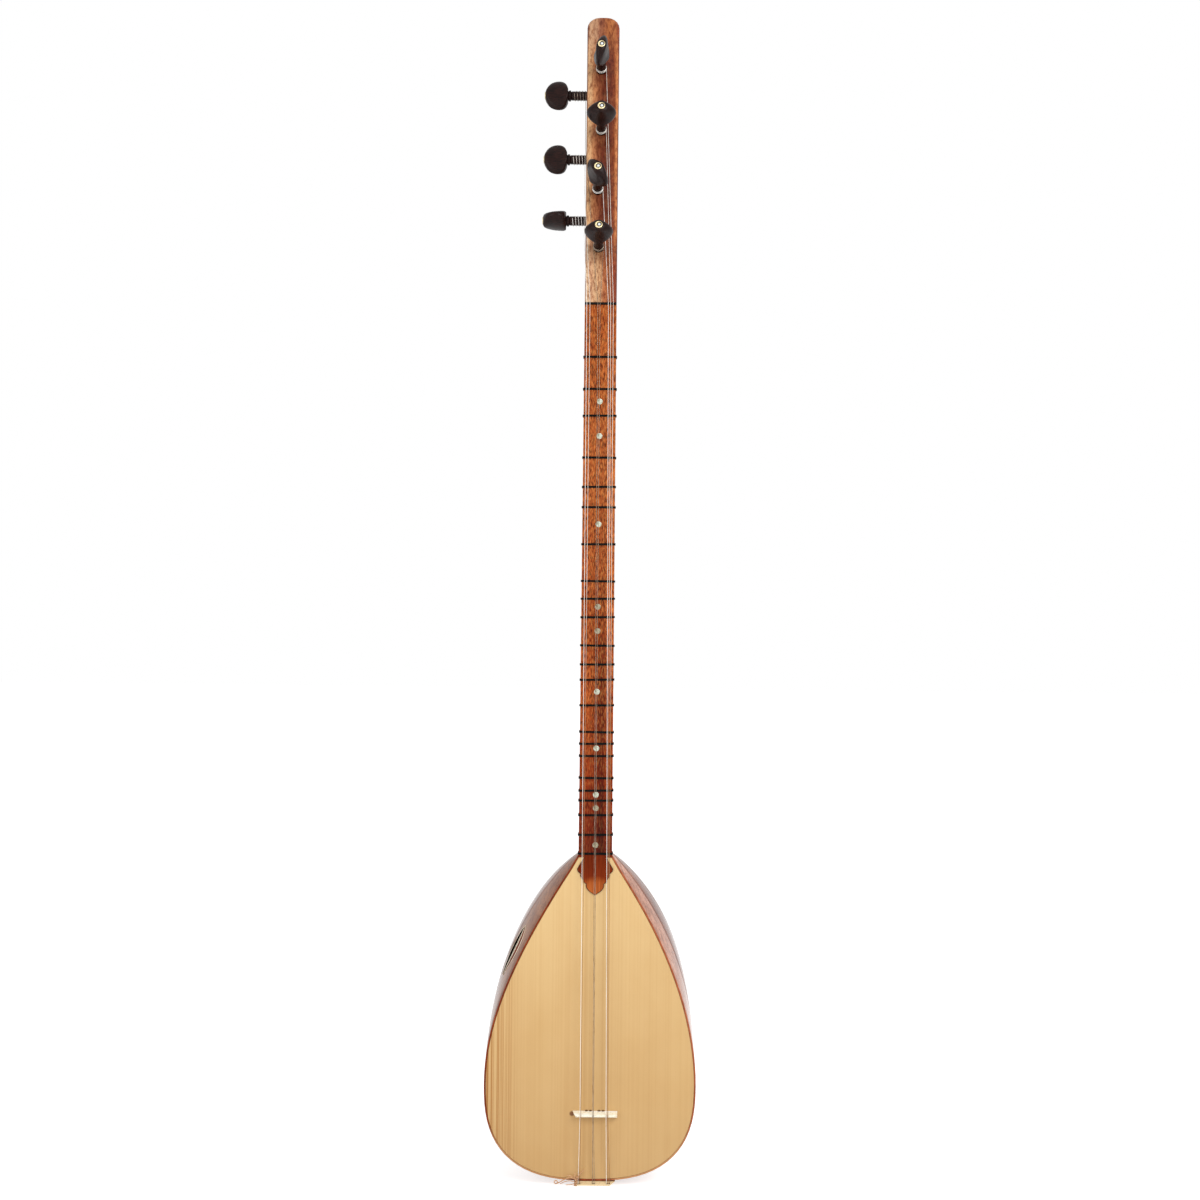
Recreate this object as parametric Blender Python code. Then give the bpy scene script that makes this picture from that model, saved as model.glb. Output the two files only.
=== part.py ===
"""Long-neck saz: a staved bowl, a flat soundboard, tied frets, seven strings and seven pegs.

The model stands upright. +Z runs up the neck, the soundboard faces -Y and +X is the viewer's right.
All lengths are in metres.
"""
import math

import bmesh
import bpy
from mathutils import Euler, Matrix, Vector

# Gaps between pieces
SEAT_GAP = 0.0003

# Heights along the instrument
BRIDGE_HEIGHT_Z = 0.073
SCALE_LENGTH = 0.8113
NUT_Z = BRIDGE_HEIGHT_Z + SCALE_LENGTH
FRET_CENTS = (120, 195, 260, 367, 446, 503, 612, 728, 786, 849, 951, 1022,
              1082, 1187, 1304, 1358, 1416, 1526, 1592, 1646, 1728, 1846, 1967)
LAST_FRET_Z = BRIDGE_HEIGHT_Z + SCALE_LENGTH * 2.0 ** (-FRET_CENTS[-1] / 1200.0)
LAST_FRET_CLEARANCE = 0.001
BOWL_TAIL_Z = 0.0062
BOWL_BELLY_Z = 0.103
BOWL_TOP_Z = LAST_FRET_Z - LAST_FRET_CLEARANCE

# Bowl
BOARD_HALF_WIDTH = 0.106
TAIL_ROUNDNESS_IN_FRONT = 2.63
BOARD_SHOULDER_Z = 0.213
BOARD_NECK_RUN = 0.007
FLANK_SHOULDER_Z = 0.1565
FLANK_NECK_HALF = 0.096
FLANK_NECK_Z = 0.268
HEEL_HALF_WIDTH = 0.0178
BOWL_DEPTH = 0.185
DEPTH_BELLY_Z = 0.112
TAIL_ROUNDNESS_BEHIND = 2.2
DEPTH_SHOULDER_Z = 0.190
DEPTH_NECK = 0.125
DEPTH_NECK_Z = 0.302
HEEL_DEPTH = 0.031
BODY_LEAN = 0.0032
LEAN_LOW_Z = 0.12
LEAN_HIGH_Z = 0.29
STAVE_COUNT = 9
STAVE_WALL = 0.003
STAVE_STATIONS = 19
STAVE_ARC_STEPS = 3
NECK_BLOCK_STATIONS = 5
TAIL_BLOCK_STATIONS = 4

# Soundboard
BOARD_THICKNESS = 0.004
BINDING_WIDTH = 0.0016
RIM_Y = BOARD_THICKNESS + SEAT_GAP
BRACE_Z = 0.165
BRACE_WIDTH = 0.008
BRACE_DEPTH = 0.010

# Tail
TAIL_CAP_THICKNESS = 0.003
TAIL_CAP_STATIONS = (0.0, 0.06, 0.25, 0.6, 1.0)
TAILPIECE_MIDDLE = 0.0025
TAILPIECE_WIDTH = 0.0408
TAILPIECE_THICKNESS = 0.0046
TAILPIECE_DEPTH = 0.022
TAILPIECE_BEVEL = 0.0055
TAILPIECE_FRONT_Y = 0.0005
STRING_HOLE_DEPTH = 0.008

# Neck and fingerboard
NECK_WIDTH_NUT = 0.0318
NECK_WIDTH_BODY = 0.0335
NECK_DEPTH_NUT = 0.026
NECK_DEPTH_BODY = HEEL_DEPTH
FINGERBOARD_THICKNESS = 0.003
FINGERBOARD_RISE = 0.0013
NECK_FLAT_SIDE = 0.22
NECK_FULLNESS = 0.8
NECK_ARC_STEPS = 10
TENON_WIDTH = 0.012
TENON_DEPTH = 0.014
TENON_LENGTH = 0.028
NUT_LENGTH = 0.0016
NUT_RISE = 0.0016

# Head
HEAD_ANGLE = math.radians(18.0)
HEAD_LENGTH = 0.329
HEAD_WIDTH = 0.0335
HEAD_DEPTH = NECK_DEPTH_NUT
HEAD_CORNER = 0.013
HEAD_EDGE = 0.0025

# Pegs
FRONT_PEGS_ALONG = (0.0604, 0.1254, 0.1937, 0.2652)
FRONT_PEGS_ACROSS = (-0.0027, -0.0042, -0.0013, -0.0018)
FRONT_PEG_TURNS = (0.0, -54.0, 0.0, 78.0)
FRONT_PEG_STAND = 0.050
FRONT_BUTTONS = ((0.0285, 0.0185), (0.0310, 0.0180), (0.0298, 0.0205), (0.0325, 0.0160))
SIDE_PEGS_ALONG = (0.0974, 0.1676, 0.2424)
SIDE_PEG_TURNS = (0.0, 90.0, 90.0)
SIDE_PEG_STAND = 0.043
SIDE_BUTTON = (0.0330, 0.0190)
PEG_SHANK_RADIUS = 0.0047
PEG_TIP_RADIUS = 0.0037
PEG_TIP_RECESS = 0.0006
PEG_BUTTON_LENGTH = 0.024
PEG_EYE_RADIUS = 0.0037
PEG_EYE_RISE = 0.0008
PEG_COLLAR_RADIUS = 0.0056
PEG_COLLAR_LENGTH = 0.0025
PEG_BUTTON_PROFILE = ((0.02, 0.46, 1.00, 2.0), (0.10, 0.76, 0.94, 2.1), (0.22, 0.93, 0.85, 2.0),
                      (0.37, 1.00, 0.78, 1.9), (0.55, 0.98, 0.72, 1.9), (0.72, 0.88, 0.68, 1.9),
                      (0.86, 0.68, 0.67, 2.0), (0.96, 0.42, 0.64, 2.0))
PEG_HOLE_OVERRUN = 0.005
PEG_SIDES = 14

# Strings and windings
STRING_RADIUS = 0.00025
STRING_SPACING_BRIDGE = 0.0009
BRIDGE_COURSES_X = (-0.0122, 0.0004, 0.0142)
NUT_STRINGS_X = ((-0.0139, -0.0107), (-0.0029, -0.0007), (0.0076, 0.0099, 0.0126))
TAIL_STRINGS_X = ((-0.0139, -0.0123), (0.0006, 0.0022), (0.0143, 0.0159, 0.0175))
FRONT_WINDING_LOOPS = 3
SIDE_WINDING_LOOPS = 4
LOOP_POINTS = 24
FRONT_WINDING_PITCH = 0.0014
SIDE_WINDING_PITCH = 0.0030
FRONT_WINDING_STANDOFF = 0.0022
SIDE_WINDING_STANDOFF = 0.0009
TAIL_BEND_OUT = 0.0012
TAIL_BEND_RISE = 0.0006
TAIL_EDGE_STAND = 0.0016
TAIL_EDGE_RISE = 0.0012
HEAD_EDGE_STAND = 0.0006
HEAD_EDGE_LIFT = 0.0008
HEAD_EDGE_SHARE = 0.72

# Bridge
BRIDGE_MIDDLE = 0.0023
BRIDGE_LENGTH = 0.0446
BRIDGE_FOOT = 0.0065
BRIDGE_RISE = 0.0092
BRIDGE_ARCHES_X = (-0.0063, -0.0023, 0.0063, 0.0104)
BRIDGE_ARCH_RADIUS = 0.0017
BRIDGE_END_SLANT = 0.0028
BRIDGE_PROFILE = ((0.0, 1.0, 1.0), (0.35, 0.86, 0.99), (0.9, 0.40, 0.93), (1.0, 0.24, 0.91))

# Frets
FRET_BAND_HEIGHT = 0.0018
FRET_BAND_THICKNESS = 0.0009

# Ornament at the foot of the fingerboard
ORNAMENT_LENGTH = 0.0402
ORNAMENT_SHOULDER = 0.0024
ORNAMENT_THICKNESS = 0.001
ORNAMENT_NECK_HALF = 0.0106
ORNAMENT_EDGE = ((0.0176, 0.0256), (0.0170, 0.0236), (0.0150, 0.0217), (0.0140, 0.0208), (0.0144, 0.0190),
                 (0.0132, 0.0170), (0.0114, 0.0152), (0.0112, 0.0130), (0.0098, 0.0118), (0.0083, 0.0106),
                 (0.0087, 0.0088), (0.0078, 0.0064), (0.0054, 0.0036))

# Sound hole in the first left-hand stave
SOUND_HOLE_Z = 0.232
SOUND_HOLE_LENGTH = 0.0500
SOUND_HOLE_WIDTH = 0.0108
SOUND_HOLE_SHARE = 0.0565
LEAF_TIP_GROWTH = 1.2
LEAF_FULLNESS = 0.7
SOUND_HOLE_LINING = 0.0011
SOUND_HOLE_PROUD = 0.0004

PARTS = "long_neck_saz"
CUTTERS = "cutters"


# Scene set-up

def clear_scene():
    for item in list(bpy.data.objects):
        bpy.data.objects.remove(item, do_unlink=True)


def collection(name):
    found = bpy.data.collections.get(name)
    if found is None:
        found = bpy.data.collections.new(name)
        bpy.context.scene.collection.children.link(found)
    return found


def material(name, colour, roughness, metallic=0.0):
    made = bpy.data.materials.new(name)
    made.use_nodes = True
    shader = made.node_tree.nodes["Principled BSDF"]
    shader.inputs["Base Color"].default_value = (*colour, 1.0)
    shader.inputs["Roughness"].default_value = roughness
    shader.inputs["Metallic"].default_value = metallic
    return made


LOOKS = {
    "stave": ((0.20, 0.09, 0.07), 0.25, 0.0),
    "spruce": ((0.72, 0.52, 0.27), 0.35, 0.0),
    "binding": ((0.17, 0.03, 0.02), 0.30, 0.0),
    "sapele": ((0.33, 0.10, 0.04), 0.40, 0.0),
    "mahogany": ((0.25, 0.06, 0.03), 0.35, 0.0),
    "maple": ((0.72, 0.60, 0.40), 0.45, 0.0),
    "ebony": ((0.025, 0.015, 0.015), 0.35, 0.0),
    "nylon": ((0.02, 0.02, 0.02), 0.50, 0.0),
    "steel": ((0.62, 0.62, 0.64), 0.25, 1.0),
    "copper": ((0.30, 0.17, 0.10), 0.35, 1.0),
}


def dress(made, look):
    colour, roughness, metallic = LOOKS[look]
    made.data.materials.clear()
    made.data.materials.append(material(made.name, colour, roughness, metallic))


def add_part(name, data, look, parent=None):
    made = bpy.data.objects.new(name, data)
    collection(PARTS).objects.link(made)
    made.parent = parent
    if look:
        dress(made, look)
    return made


def add_cutter(name, data, parent=None):
    made = bpy.data.objects.new(name, data)
    collection(CUTTERS).objects.link(made)
    made.parent = parent
    made.hide_render = True
    made.display_type = "WIRE"
    return made


def add_empty(name, place, turn=(0.0, 0.0, 0.0), parent=None):
    made = bpy.data.objects.new(name, None)
    collection(PARTS).objects.link(made)
    made.parent = parent
    made.location = place
    made.rotation_euler = Euler(turn)
    return made


# Shape helpers

def finish_mesh(work, name, smooth_angle=35.0):
    bmesh.ops.recalc_face_normals(work, faces=work.faces)
    data = bpy.data.meshes.new(name)
    work.to_mesh(data)
    work.free()
    data.shade_smooth()
    data.set_sharp_from_angle(angle=math.radians(smooth_angle))
    return data


def loft_mesh(name, rings, closed=False):
    """Skin between rings of equal count; the ends are capped unless the loft closes on itself."""
    work = bmesh.new()
    rows = [[work.verts.new(point) for point in ring] for ring in rings]
    pairs = list(zip(rows, rows[1:]))
    if closed:
        pairs.append((rows[-1], rows[0]))
    for low, high in pairs:
        for index in range(len(low)):
            following = (index + 1) % len(low)
            work.faces.new((low[index], low[following], high[following], high[index]))
    if not closed:
        work.faces.new(rows[0])
        work.faces.new(list(reversed(rows[-1])))
    return finish_mesh(work, name)


def box_mesh(name, low, high):
    work = bmesh.new()
    centre = (Vector(low) + Vector(high)) / 2
    size = Vector(high) - Vector(low)
    bmesh.ops.create_cube(work, size=1.0, matrix=Matrix.Translation(centre) @ Matrix.Diagonal((*size, 1.0)))
    return finish_mesh(work, name)


def cylinder_mesh(name, foot, top, radius_foot, radius_top, sides):
    work = bmesh.new()
    run = Vector(top) - Vector(foot)
    turn = run.to_track_quat("Z", "Y").to_matrix().to_4x4()
    place = Matrix.Translation((Vector(foot) + Vector(top)) / 2) @ turn
    bmesh.ops.create_cone(work, cap_ends=True, segments=sides, radius1=radius_foot,
                          radius2=radius_top, depth=run.length, matrix=place)
    return finish_mesh(work, name)


def plate_curve(name, outlines, thickness):
    """Flat plate in the local XY plane; a second outline is a hole."""
    data = bpy.data.curves.new(name, "CURVE")
    data.dimensions = "2D"
    data.fill_mode = "BOTH"
    data.extrude = thickness / 2
    for outline in outlines:
        spline = data.splines.new("POLY")
        spline.points.add(len(outline) - 1)
        for point, (across, along) in zip(spline.points, outline):
            point.co = (across, along, 0.0, 1.0)
        spline.use_cyclic_u = True
    return data


def tube_curve(name, route, radius, resolution=1):
    data = bpy.data.curves.new(name, "CURVE")
    data.dimensions = "3D"
    data.bevel_depth = radius
    data.bevel_resolution = resolution
    data.use_fill_caps = True
    spline = data.splines.new("POLY")
    spline.points.add(len(route) - 1)
    for point, place in zip(spline.points, route):
        point.co = (*place, 1.0)
    return data


def board_plate(name, outlines, front_y, thickness, look, parent):
    """Plate that lies in the soundboard's plane, with its front at front_y."""
    made = add_part(name, plate_curve(name, outlines, thickness), look, parent)
    made.rotation_euler = Euler((math.radians(90.0), 0.0, 0.0))
    made.location = (0.0, front_y + thickness / 2, 0.0)
    return made


def cut(target, cutter):
    bore = target.modifiers.new(cutter.name, "BOOLEAN")
    bore.operation = "DIFFERENCE"
    bore.object = cutter


def join(target, addition):
    union = target.modifiers.new(addition.name, "BOOLEAN")
    union.operation = "UNION"
    union.object = addition


def mix(start, end, share):
    return start + (end - start) * share


# Bowl form

def body_middle(height):
    """Where the body's middle stands: level with the neck above, to the viewer's left below."""
    share = min(max((LEAN_HIGH_Z - height) / (LEAN_HIGH_Z - LEAN_LOW_Z), 0.0), 1.0)
    return -BODY_LEAN * share * share * (3.0 - 2.0 * share)


def bezier_value(height, anchors):
    """Value at a height on a cubic curve whose anchors are (value, height), rising in height."""
    low, high = 0.0, 1.0
    for _ in range(40):
        middle = (low + high) / 2
        if bezier_point(middle, anchors)[1] < height:
            low = middle
        else:
            high = middle
    return bezier_point(low, anchors)[0]


def bezier_point(share, anchors):
    rest = 1.0 - share
    weights = (rest ** 3, 3 * rest ** 2 * share, 3 * rest * share ** 2, share ** 3)
    return [sum(weight * anchor[axis] for weight, anchor in zip(weights, anchors)) for axis in (0, 1)]


def rounded_tail(height, belly_z, full, roundness):
    share = min(max((belly_z - height) / (belly_z - BOWL_TAIL_Z), 0.0), 1.0)
    return full * (1.0 - share ** roundness) ** (1.0 / roundness)


def board_half(height):
    """Half the soundboard's width at a height."""
    if height <= BOWL_BELLY_Z:
        return rounded_tail(height, BOWL_BELLY_Z, BOARD_HALF_WIDTH, TAIL_ROUNDNESS_IN_FRONT)
    neck_half = NECK_WIDTH_BODY / 2
    return bezier_value(height, ((BOARD_HALF_WIDTH, BOWL_BELLY_Z), (BOARD_HALF_WIDTH, BOARD_SHOULDER_Z),
                                 (neck_half, BOWL_TOP_Z - BOARD_NECK_RUN), (neck_half, BOWL_TOP_Z)))


def flank_half(height):
    """Half the bowl's greatest width at a height."""
    if height <= BOWL_BELLY_Z:
        return board_half(height)
    bulged = bezier_value(height, ((BOARD_HALF_WIDTH, BOWL_BELLY_Z), (BOARD_HALF_WIDTH, FLANK_SHOULDER_Z),
                                   (FLANK_NECK_HALF, FLANK_NECK_Z), (HEEL_HALF_WIDTH, BOWL_TOP_Z)))
    return max(bulged, board_half(height))


def bowl_depth(height):
    """Depth of the bowl behind its rim at a height."""
    if height <= DEPTH_BELLY_Z:
        return rounded_tail(height, DEPTH_BELLY_Z, BOWL_DEPTH, TAIL_ROUNDNESS_BEHIND)
    return bezier_value(height, ((BOWL_DEPTH, DEPTH_BELLY_Z), (BOWL_DEPTH, DEPTH_SHOULDER_Z),
                                 (DEPTH_NECK, DEPTH_NECK_Z), (HEEL_DEPTH, BOWL_TOP_Z)))


def bowl_point(height, share, inset=0.0):
    """Point on the bowl: share runs from 0 at the left rim, round the back, to 1 at the right rim."""
    half = board_half(height) - inset
    flank = flank_half(height) - inset
    depth = bowl_depth(height) - inset
    lift = math.acos(min(half / flank, 1.0))
    reach = depth / (1.0 + math.sin(lift))
    angle = mix(-lift, math.pi + lift, share)
    return Vector((body_middle(height) - flank * math.cos(angle),
                   RIM_Y + reach * (math.sin(lift) + math.sin(angle)), height))


def bowl_normal(height, share):
    step = 0.001
    along = bowl_point(height + step, share) - bowl_point(height - step, share)
    around = bowl_point(height, share + step) - bowl_point(height, share - step)
    return along.cross(around).normalized()


def bowl_girth(height):
    points = [bowl_point(height, step / 48) for step in range(49)]
    return sum((after - before).length for before, after in zip(points, points[1:]))


def bowl_heights(low, high, count):
    """Heights from low to high, closer together at both ends."""
    shares = [(1.0 - math.cos(math.pi * step / (count - 1))) / 2 for step in range(count)]
    return [mix(low, high, share) for share in shares]


STAVE_LOW_Z = BOWL_TAIL_Z + TAIL_CAP_THICKNESS
STAVE_HIGH_Z = BOWL_TOP_Z - SEAT_GAP


def stave_heights():
    return bowl_heights(STAVE_LOW_Z, STAVE_HIGH_Z, STAVE_STATIONS)


def make_stave(number, parent):
    rings = []
    for height in stave_heights():
        edge = SEAT_GAP / 2 / bowl_girth(height)
        low = number / STAVE_COUNT + (edge if number else 0.0)
        high = (number + 1) / STAVE_COUNT - (edge if number < STAVE_COUNT - 1 else 0.0)
        shares = [mix(low, high, step / STAVE_ARC_STEPS) for step in range(STAVE_ARC_STEPS + 1)]
        outer = [bowl_point(height, share) for share in shares]
        inner = [bowl_point(height, share, STAVE_WALL) for share in reversed(shares)]
        rings.append(outer + inner)
    name = f"bowl_stave_{number + 1:02d}"
    return add_part(name, loft_mesh(name, rings), "stave", parent)


def block_mesh(name, heights):
    """Solid that fills the bowl between its first and last height, clear of the staves."""
    steps = STAVE_COUNT * STAVE_ARC_STEPS
    inset = STAVE_WALL + SEAT_GAP
    rings = []
    for height in heights:
        ring = [bowl_point(height, step / steps, inset) for step in range(steps + 1)]
        for point in ring:
            point.y = max(point.y, RIM_Y)
        rings.append(ring)
    return loft_mesh(name, rings)


def make_blocks(parent):
    neck_block = add_part("neck_block", block_mesh("neck_block", stave_heights()[-NECK_BLOCK_STATIONS:]),
                          "maple", parent)
    cut(neck_block, add_cutter("mortise_cutter", tenon_mesh("mortise_cutter", SEAT_GAP), parent))
    add_part("tail_block", block_mesh("tail_block", stave_heights()[:TAIL_BLOCK_STATIONS]), "maple", parent)


TAIL_CAP_TOP_Z = STAVE_LOW_Z - SEAT_GAP
TAILPIECE_TOP_Z = TAIL_CAP_TOP_Z - TAIL_CAP_THICKNESS - SEAT_GAP


def make_tail_cap(parent):
    """Rounded plate that closes the staves at the tail."""
    low = TAIL_CAP_TOP_Z - TAIL_CAP_THICKNESS
    rings = []
    for share in TAIL_CAP_STATIONS:
        height = mix(low, TAIL_CAP_TOP_Z, share)
        form = mix(BOWL_TAIL_Z, STAVE_LOW_Z, mix(TAIL_CAP_STATIONS[1], 1.0, share))
        rings.append([Vector((*bowl_point(form, step / 20).xy, height)) for step in range(21)])
    return add_part("tail_cap", loft_mesh("tail_cap", rings), "binding", parent)


def make_brace(parent):
    """Bar glued across the back of the soundboard, from one side of the bowl to the other."""
    inset = STAVE_WALL + SEAT_GAP * 3
    half = board_half(BRACE_Z + BRACE_WIDTH / 2) - inset
    middle = body_middle(BRACE_Z)
    mesh = box_mesh("soundboard_brace", (middle - half, RIM_Y, BRACE_Z - BRACE_WIDTH / 2),
                    (middle + half, RIM_Y + BRACE_DEPTH, BRACE_Z + BRACE_WIDTH / 2))
    return add_part("soundboard_brace", mesh, "spruce", parent)


# Sound hole

def sound_hole_ring(grow, lift):
    """Pointed leaf on the bowl's surface, grown outward and lifted along the surface normal."""
    steps = 12
    half_length = SOUND_HOLE_LENGTH / 2 + grow * LEAF_TIP_GROWTH
    half_width = SOUND_HOLE_WIDTH / 2 + grow
    ring = []
    for step in range(2 * steps):
        turn = step / steps
        side = 1.0 if turn < 1.0 else -1.0
        along = math.cos(math.pi * turn)
        height = SOUND_HOLE_Z + half_length * along
        across = side * half_width * (1.0 - along * along) ** LEAF_FULLNESS
        share = SOUND_HOLE_SHARE + across / bowl_girth(height)
        ring.append(bowl_point(height, share) + bowl_normal(height, share) * lift)
    return ring


def make_sound_hole(stave, parent):
    reach = STAVE_WALL * 2
    cutter_rings = [sound_hole_ring(0.0, -reach), sound_hole_ring(0.0, reach)]
    cutter = add_cutter("sound_hole_cutter", loft_mesh("sound_hole_cutter", cutter_rings), parent)
    cut(stave, cutter)
    outer, inner = -SEAT_GAP, -SEAT_GAP - SOUND_HOLE_LINING
    edges = [sound_hole_ring(outer, SOUND_HOLE_PROUD), sound_hole_ring(inner, SOUND_HOLE_PROUD),
             sound_hole_ring(inner, -STAVE_WALL), sound_hole_ring(outer, -STAVE_WALL)]
    mesh = loft_mesh("sound_hole_lining", edges, closed=True)
    return add_part("sound_hole_lining", mesh, "maple", parent)


# Soundboard and its trim

def board_outline(inset):
    """Closed outline of the soundboard, drawn in by inset; its points crowd towards the tail."""
    steps = 36
    shares = [1.0 - math.cos(math.pi / 2 * step / steps) for step in range(steps + 1)]
    heights = [mix(BOWL_TAIL_Z, BOWL_TOP_Z, share) for share in shares]
    right = [(body_middle(height) + board_half(height), height) for height in heights]
    left = [(body_middle(height) - board_half(height), height) for height in heights[:0:-1]]
    corners = [Vector(point) for point in right + left]
    drawn = []
    for index, corner in enumerate(corners):
        run_in = (corner - corners[index - 1]).normalized()
        run_out = (corners[(index + 1) % len(corners)] - corner).normalized()
        inward = Vector((-run_in.y - run_out.y, run_in.x + run_out.x)).normalized()
        mitre = inward.dot(Vector((-run_in.y, run_in.x)))
        drawn.append(corner + inward * inset / mitre)
    return drawn


def make_soundboard(parent):
    outline = board_outline(BINDING_WIDTH + SEAT_GAP)
    board_plate("soundboard", [outline], 0.0, BOARD_THICKNESS, "spruce", parent)
    ring = [board_outline(0.0), board_outline(BINDING_WIDTH)]
    board_plate("soundboard_binding", ring, 0.0, BOARD_THICKNESS, "binding", parent)


def make_ornament(parent):
    tip_z = BOWL_TOP_Z - ORNAMENT_LENGTH
    top_z = BOWL_TOP_Z - SEAT_GAP
    shoulder_z = top_z - ORNAMENT_SHOULDER
    wide = NECK_WIDTH_BODY / 2
    right = [(wide, top_z), (wide, shoulder_z), (ORNAMENT_NECK_HALF, shoulder_z)]
    right += [(across, tip_z + above) for across, above in ORNAMENT_EDGE]
    outline = [(0.0, tip_z)] + right[::-1] + [(-across, height) for across, height in right]
    front = -SEAT_GAP - ORNAMENT_THICKNESS
    return board_plate("fingerboard_ornament", [outline], front, ORNAMENT_THICKNESS, "mahogany", parent)


# Neck

def neck_share(height):
    return (NUT_Z - height) / (NUT_Z - BOWL_TOP_Z)


def neck_width(height):
    return mix(NECK_WIDTH_NUT, NECK_WIDTH_BODY, neck_share(height))


def neck_depth(height):
    """Depth of neck and fingerboard together."""
    return mix(NECK_DEPTH_NUT, NECK_DEPTH_BODY, neck_share(height))


def neck_ring(height, front_y, grow=0.0):
    """D-shaped section, flat in front and round behind, grown by grow all round but in front."""
    half = neck_width(height) / 2 + grow
    depth = neck_depth(height) - FINGERBOARD_RISE
    straight = depth * NECK_FLAT_SIDE
    ring = [Vector((-half, front_y, height))]
    for step in range(NECK_ARC_STEPS + 1):
        angle = math.pi * step / NECK_ARC_STEPS
        round_depth = (depth + grow - straight) * math.sin(angle) ** NECK_FULLNESS
        ring.append(Vector((-half * math.cos(angle), straight + round_depth, height)))
    ring.append(Vector((half, front_y, height)))
    return ring


def tenon_mesh(name, clearance):
    half = TENON_WIDTH / 2 + clearance
    front = RIM_Y + TENON_DEPTH * 0.4
    low = BOWL_TOP_Z - TENON_LENGTH - clearance
    return box_mesh(name, (-half, front - clearance, low),
                    (half, front + TENON_DEPTH + clearance, BOWL_TOP_Z + TENON_LENGTH / 2))


NECK_FRONT_Y = FINGERBOARD_THICKNESS - FINGERBOARD_RISE + SEAT_GAP


def make_neck(parent):
    low = BOWL_TOP_Z
    rings = [neck_ring(mix(low, NUT_Z - SEAT_GAP, step / 4), NECK_FRONT_Y) for step in range(5)]
    neck = add_part("neck", loft_mesh("neck", rings), "sapele", parent)
    tenon = add_cutter("tenon_guide", tenon_mesh("tenon_guide", 0.0), parent)
    join(neck, tenon)
    return neck


def make_fingerboard(parent):
    """Board along the neck, between the body and the nut."""
    low, high = BOWL_TOP_Z + SEAT_GAP, NUT_Z - NUT_LENGTH - SEAT_GAP
    outline = [(-neck_width(low) / 2, low), (neck_width(low) / 2, low),
               (neck_width(high) / 2, high), (-neck_width(high) / 2, high)]
    rings = [[Vector((across, depth, height)) for across, height in outline]
             for depth in (-FINGERBOARD_RISE, FINGERBOARD_THICKNESS - FINGERBOARD_RISE)]
    return add_part("fingerboard", loft_mesh("fingerboard", rings), "sapele", parent)


def fret_height(cents):
    return BRIDGE_HEIGHT_Z + SCALE_LENGTH * 2.0 ** (-cents / 1200.0)


def make_fret(number, cents, parent):
    """Tied band right round the neck, with its origin on its own height."""
    height = fret_height(cents)
    holder = add_empty(f"fret_slide_{number:02d}", (0.0, 0.0, height), parent=parent)
    front = -FINGERBOARD_RISE - SEAT_GAP
    inner = neck_ring(height, front, SEAT_GAP)
    outer = neck_ring(height, front - FRET_BAND_THICKNESS, SEAT_GAP + FRET_BAND_THICKNESS)
    sections = []
    for near, far in zip(inner, outer):
        lower = Vector((0.0, 0.0, -FRET_BAND_HEIGHT / 2 - height))
        upper = Vector((0.0, 0.0, FRET_BAND_HEIGHT / 2 - height))
        sections.append([near + lower, far + lower, far + upper, near + upper])
    name = f"fret_{number:02d}"
    return add_part(name, loft_mesh(name, sections, closed=True), "nylon", holder)


def make_nut(parent):
    low = NUT_Z - NUT_LENGTH
    half = NECK_WIDTH_NUT / 2
    front = -FINGERBOARD_RISE - NUT_RISE
    mesh = box_mesh("nut", (-half, front, low), (half, NECK_FRONT_Y - SEAT_GAP, NUT_Z - SEAT_GAP))
    return add_part("nut", mesh, "ebony", parent)


# Head and pegs

def head_outline(high_corner, inset):
    """Front outline of the head, with round upper corners."""
    half = HEAD_WIDTH / 2 - inset
    foot_half = NECK_WIDTH_NUT / 2 - inset
    top = HEAD_LENGTH - inset
    corner = high_corner - inset
    points = [(-foot_half, 0.0), (foot_half, 0.0)]
    for side, start in ((1.0, 0.0), (-1.0, 90.0)):
        for step in range(6):
            angle = math.radians(start + 18.0 * step)
            across = side * (half - corner) + corner * math.cos(angle)
            points.append((across, top - corner + corner * math.sin(angle)))
    return points


def head_ring(share, inset):
    """Outline of the head at a share of its depth, 0 in front."""
    lean = math.tan(HEAD_ANGLE) * HEAD_DEPTH * share
    return [Vector((across, HEAD_DEPTH * share, along if along else lean))
            for across, along in head_outline(HEAD_CORNER, inset)]


def make_head(parent):
    rings = [head_ring(0.0, HEAD_EDGE * 0.5), head_ring(0.06, 0.0), head_ring(0.94, 0.0),
             head_ring(1.0, HEAD_EDGE * 0.5)]
    return add_part("head", loft_mesh("head", rings), "mahogany", parent)


def superellipse_ring(height, half_x, half_y, roundness):
    ring = []
    for side in range(PEG_SIDES):
        angle = 2.0 * math.pi * side / PEG_SIDES
        cosine, sine = math.cos(angle), math.sin(angle)
        across = math.copysign(abs(cosine) ** (2.0 / roundness), cosine) * half_x
        along = math.copysign(abs(sine) ** (2.0 / roundness), sine) * half_y
        ring.append(Vector((across, along, height)))
    return ring


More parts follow.
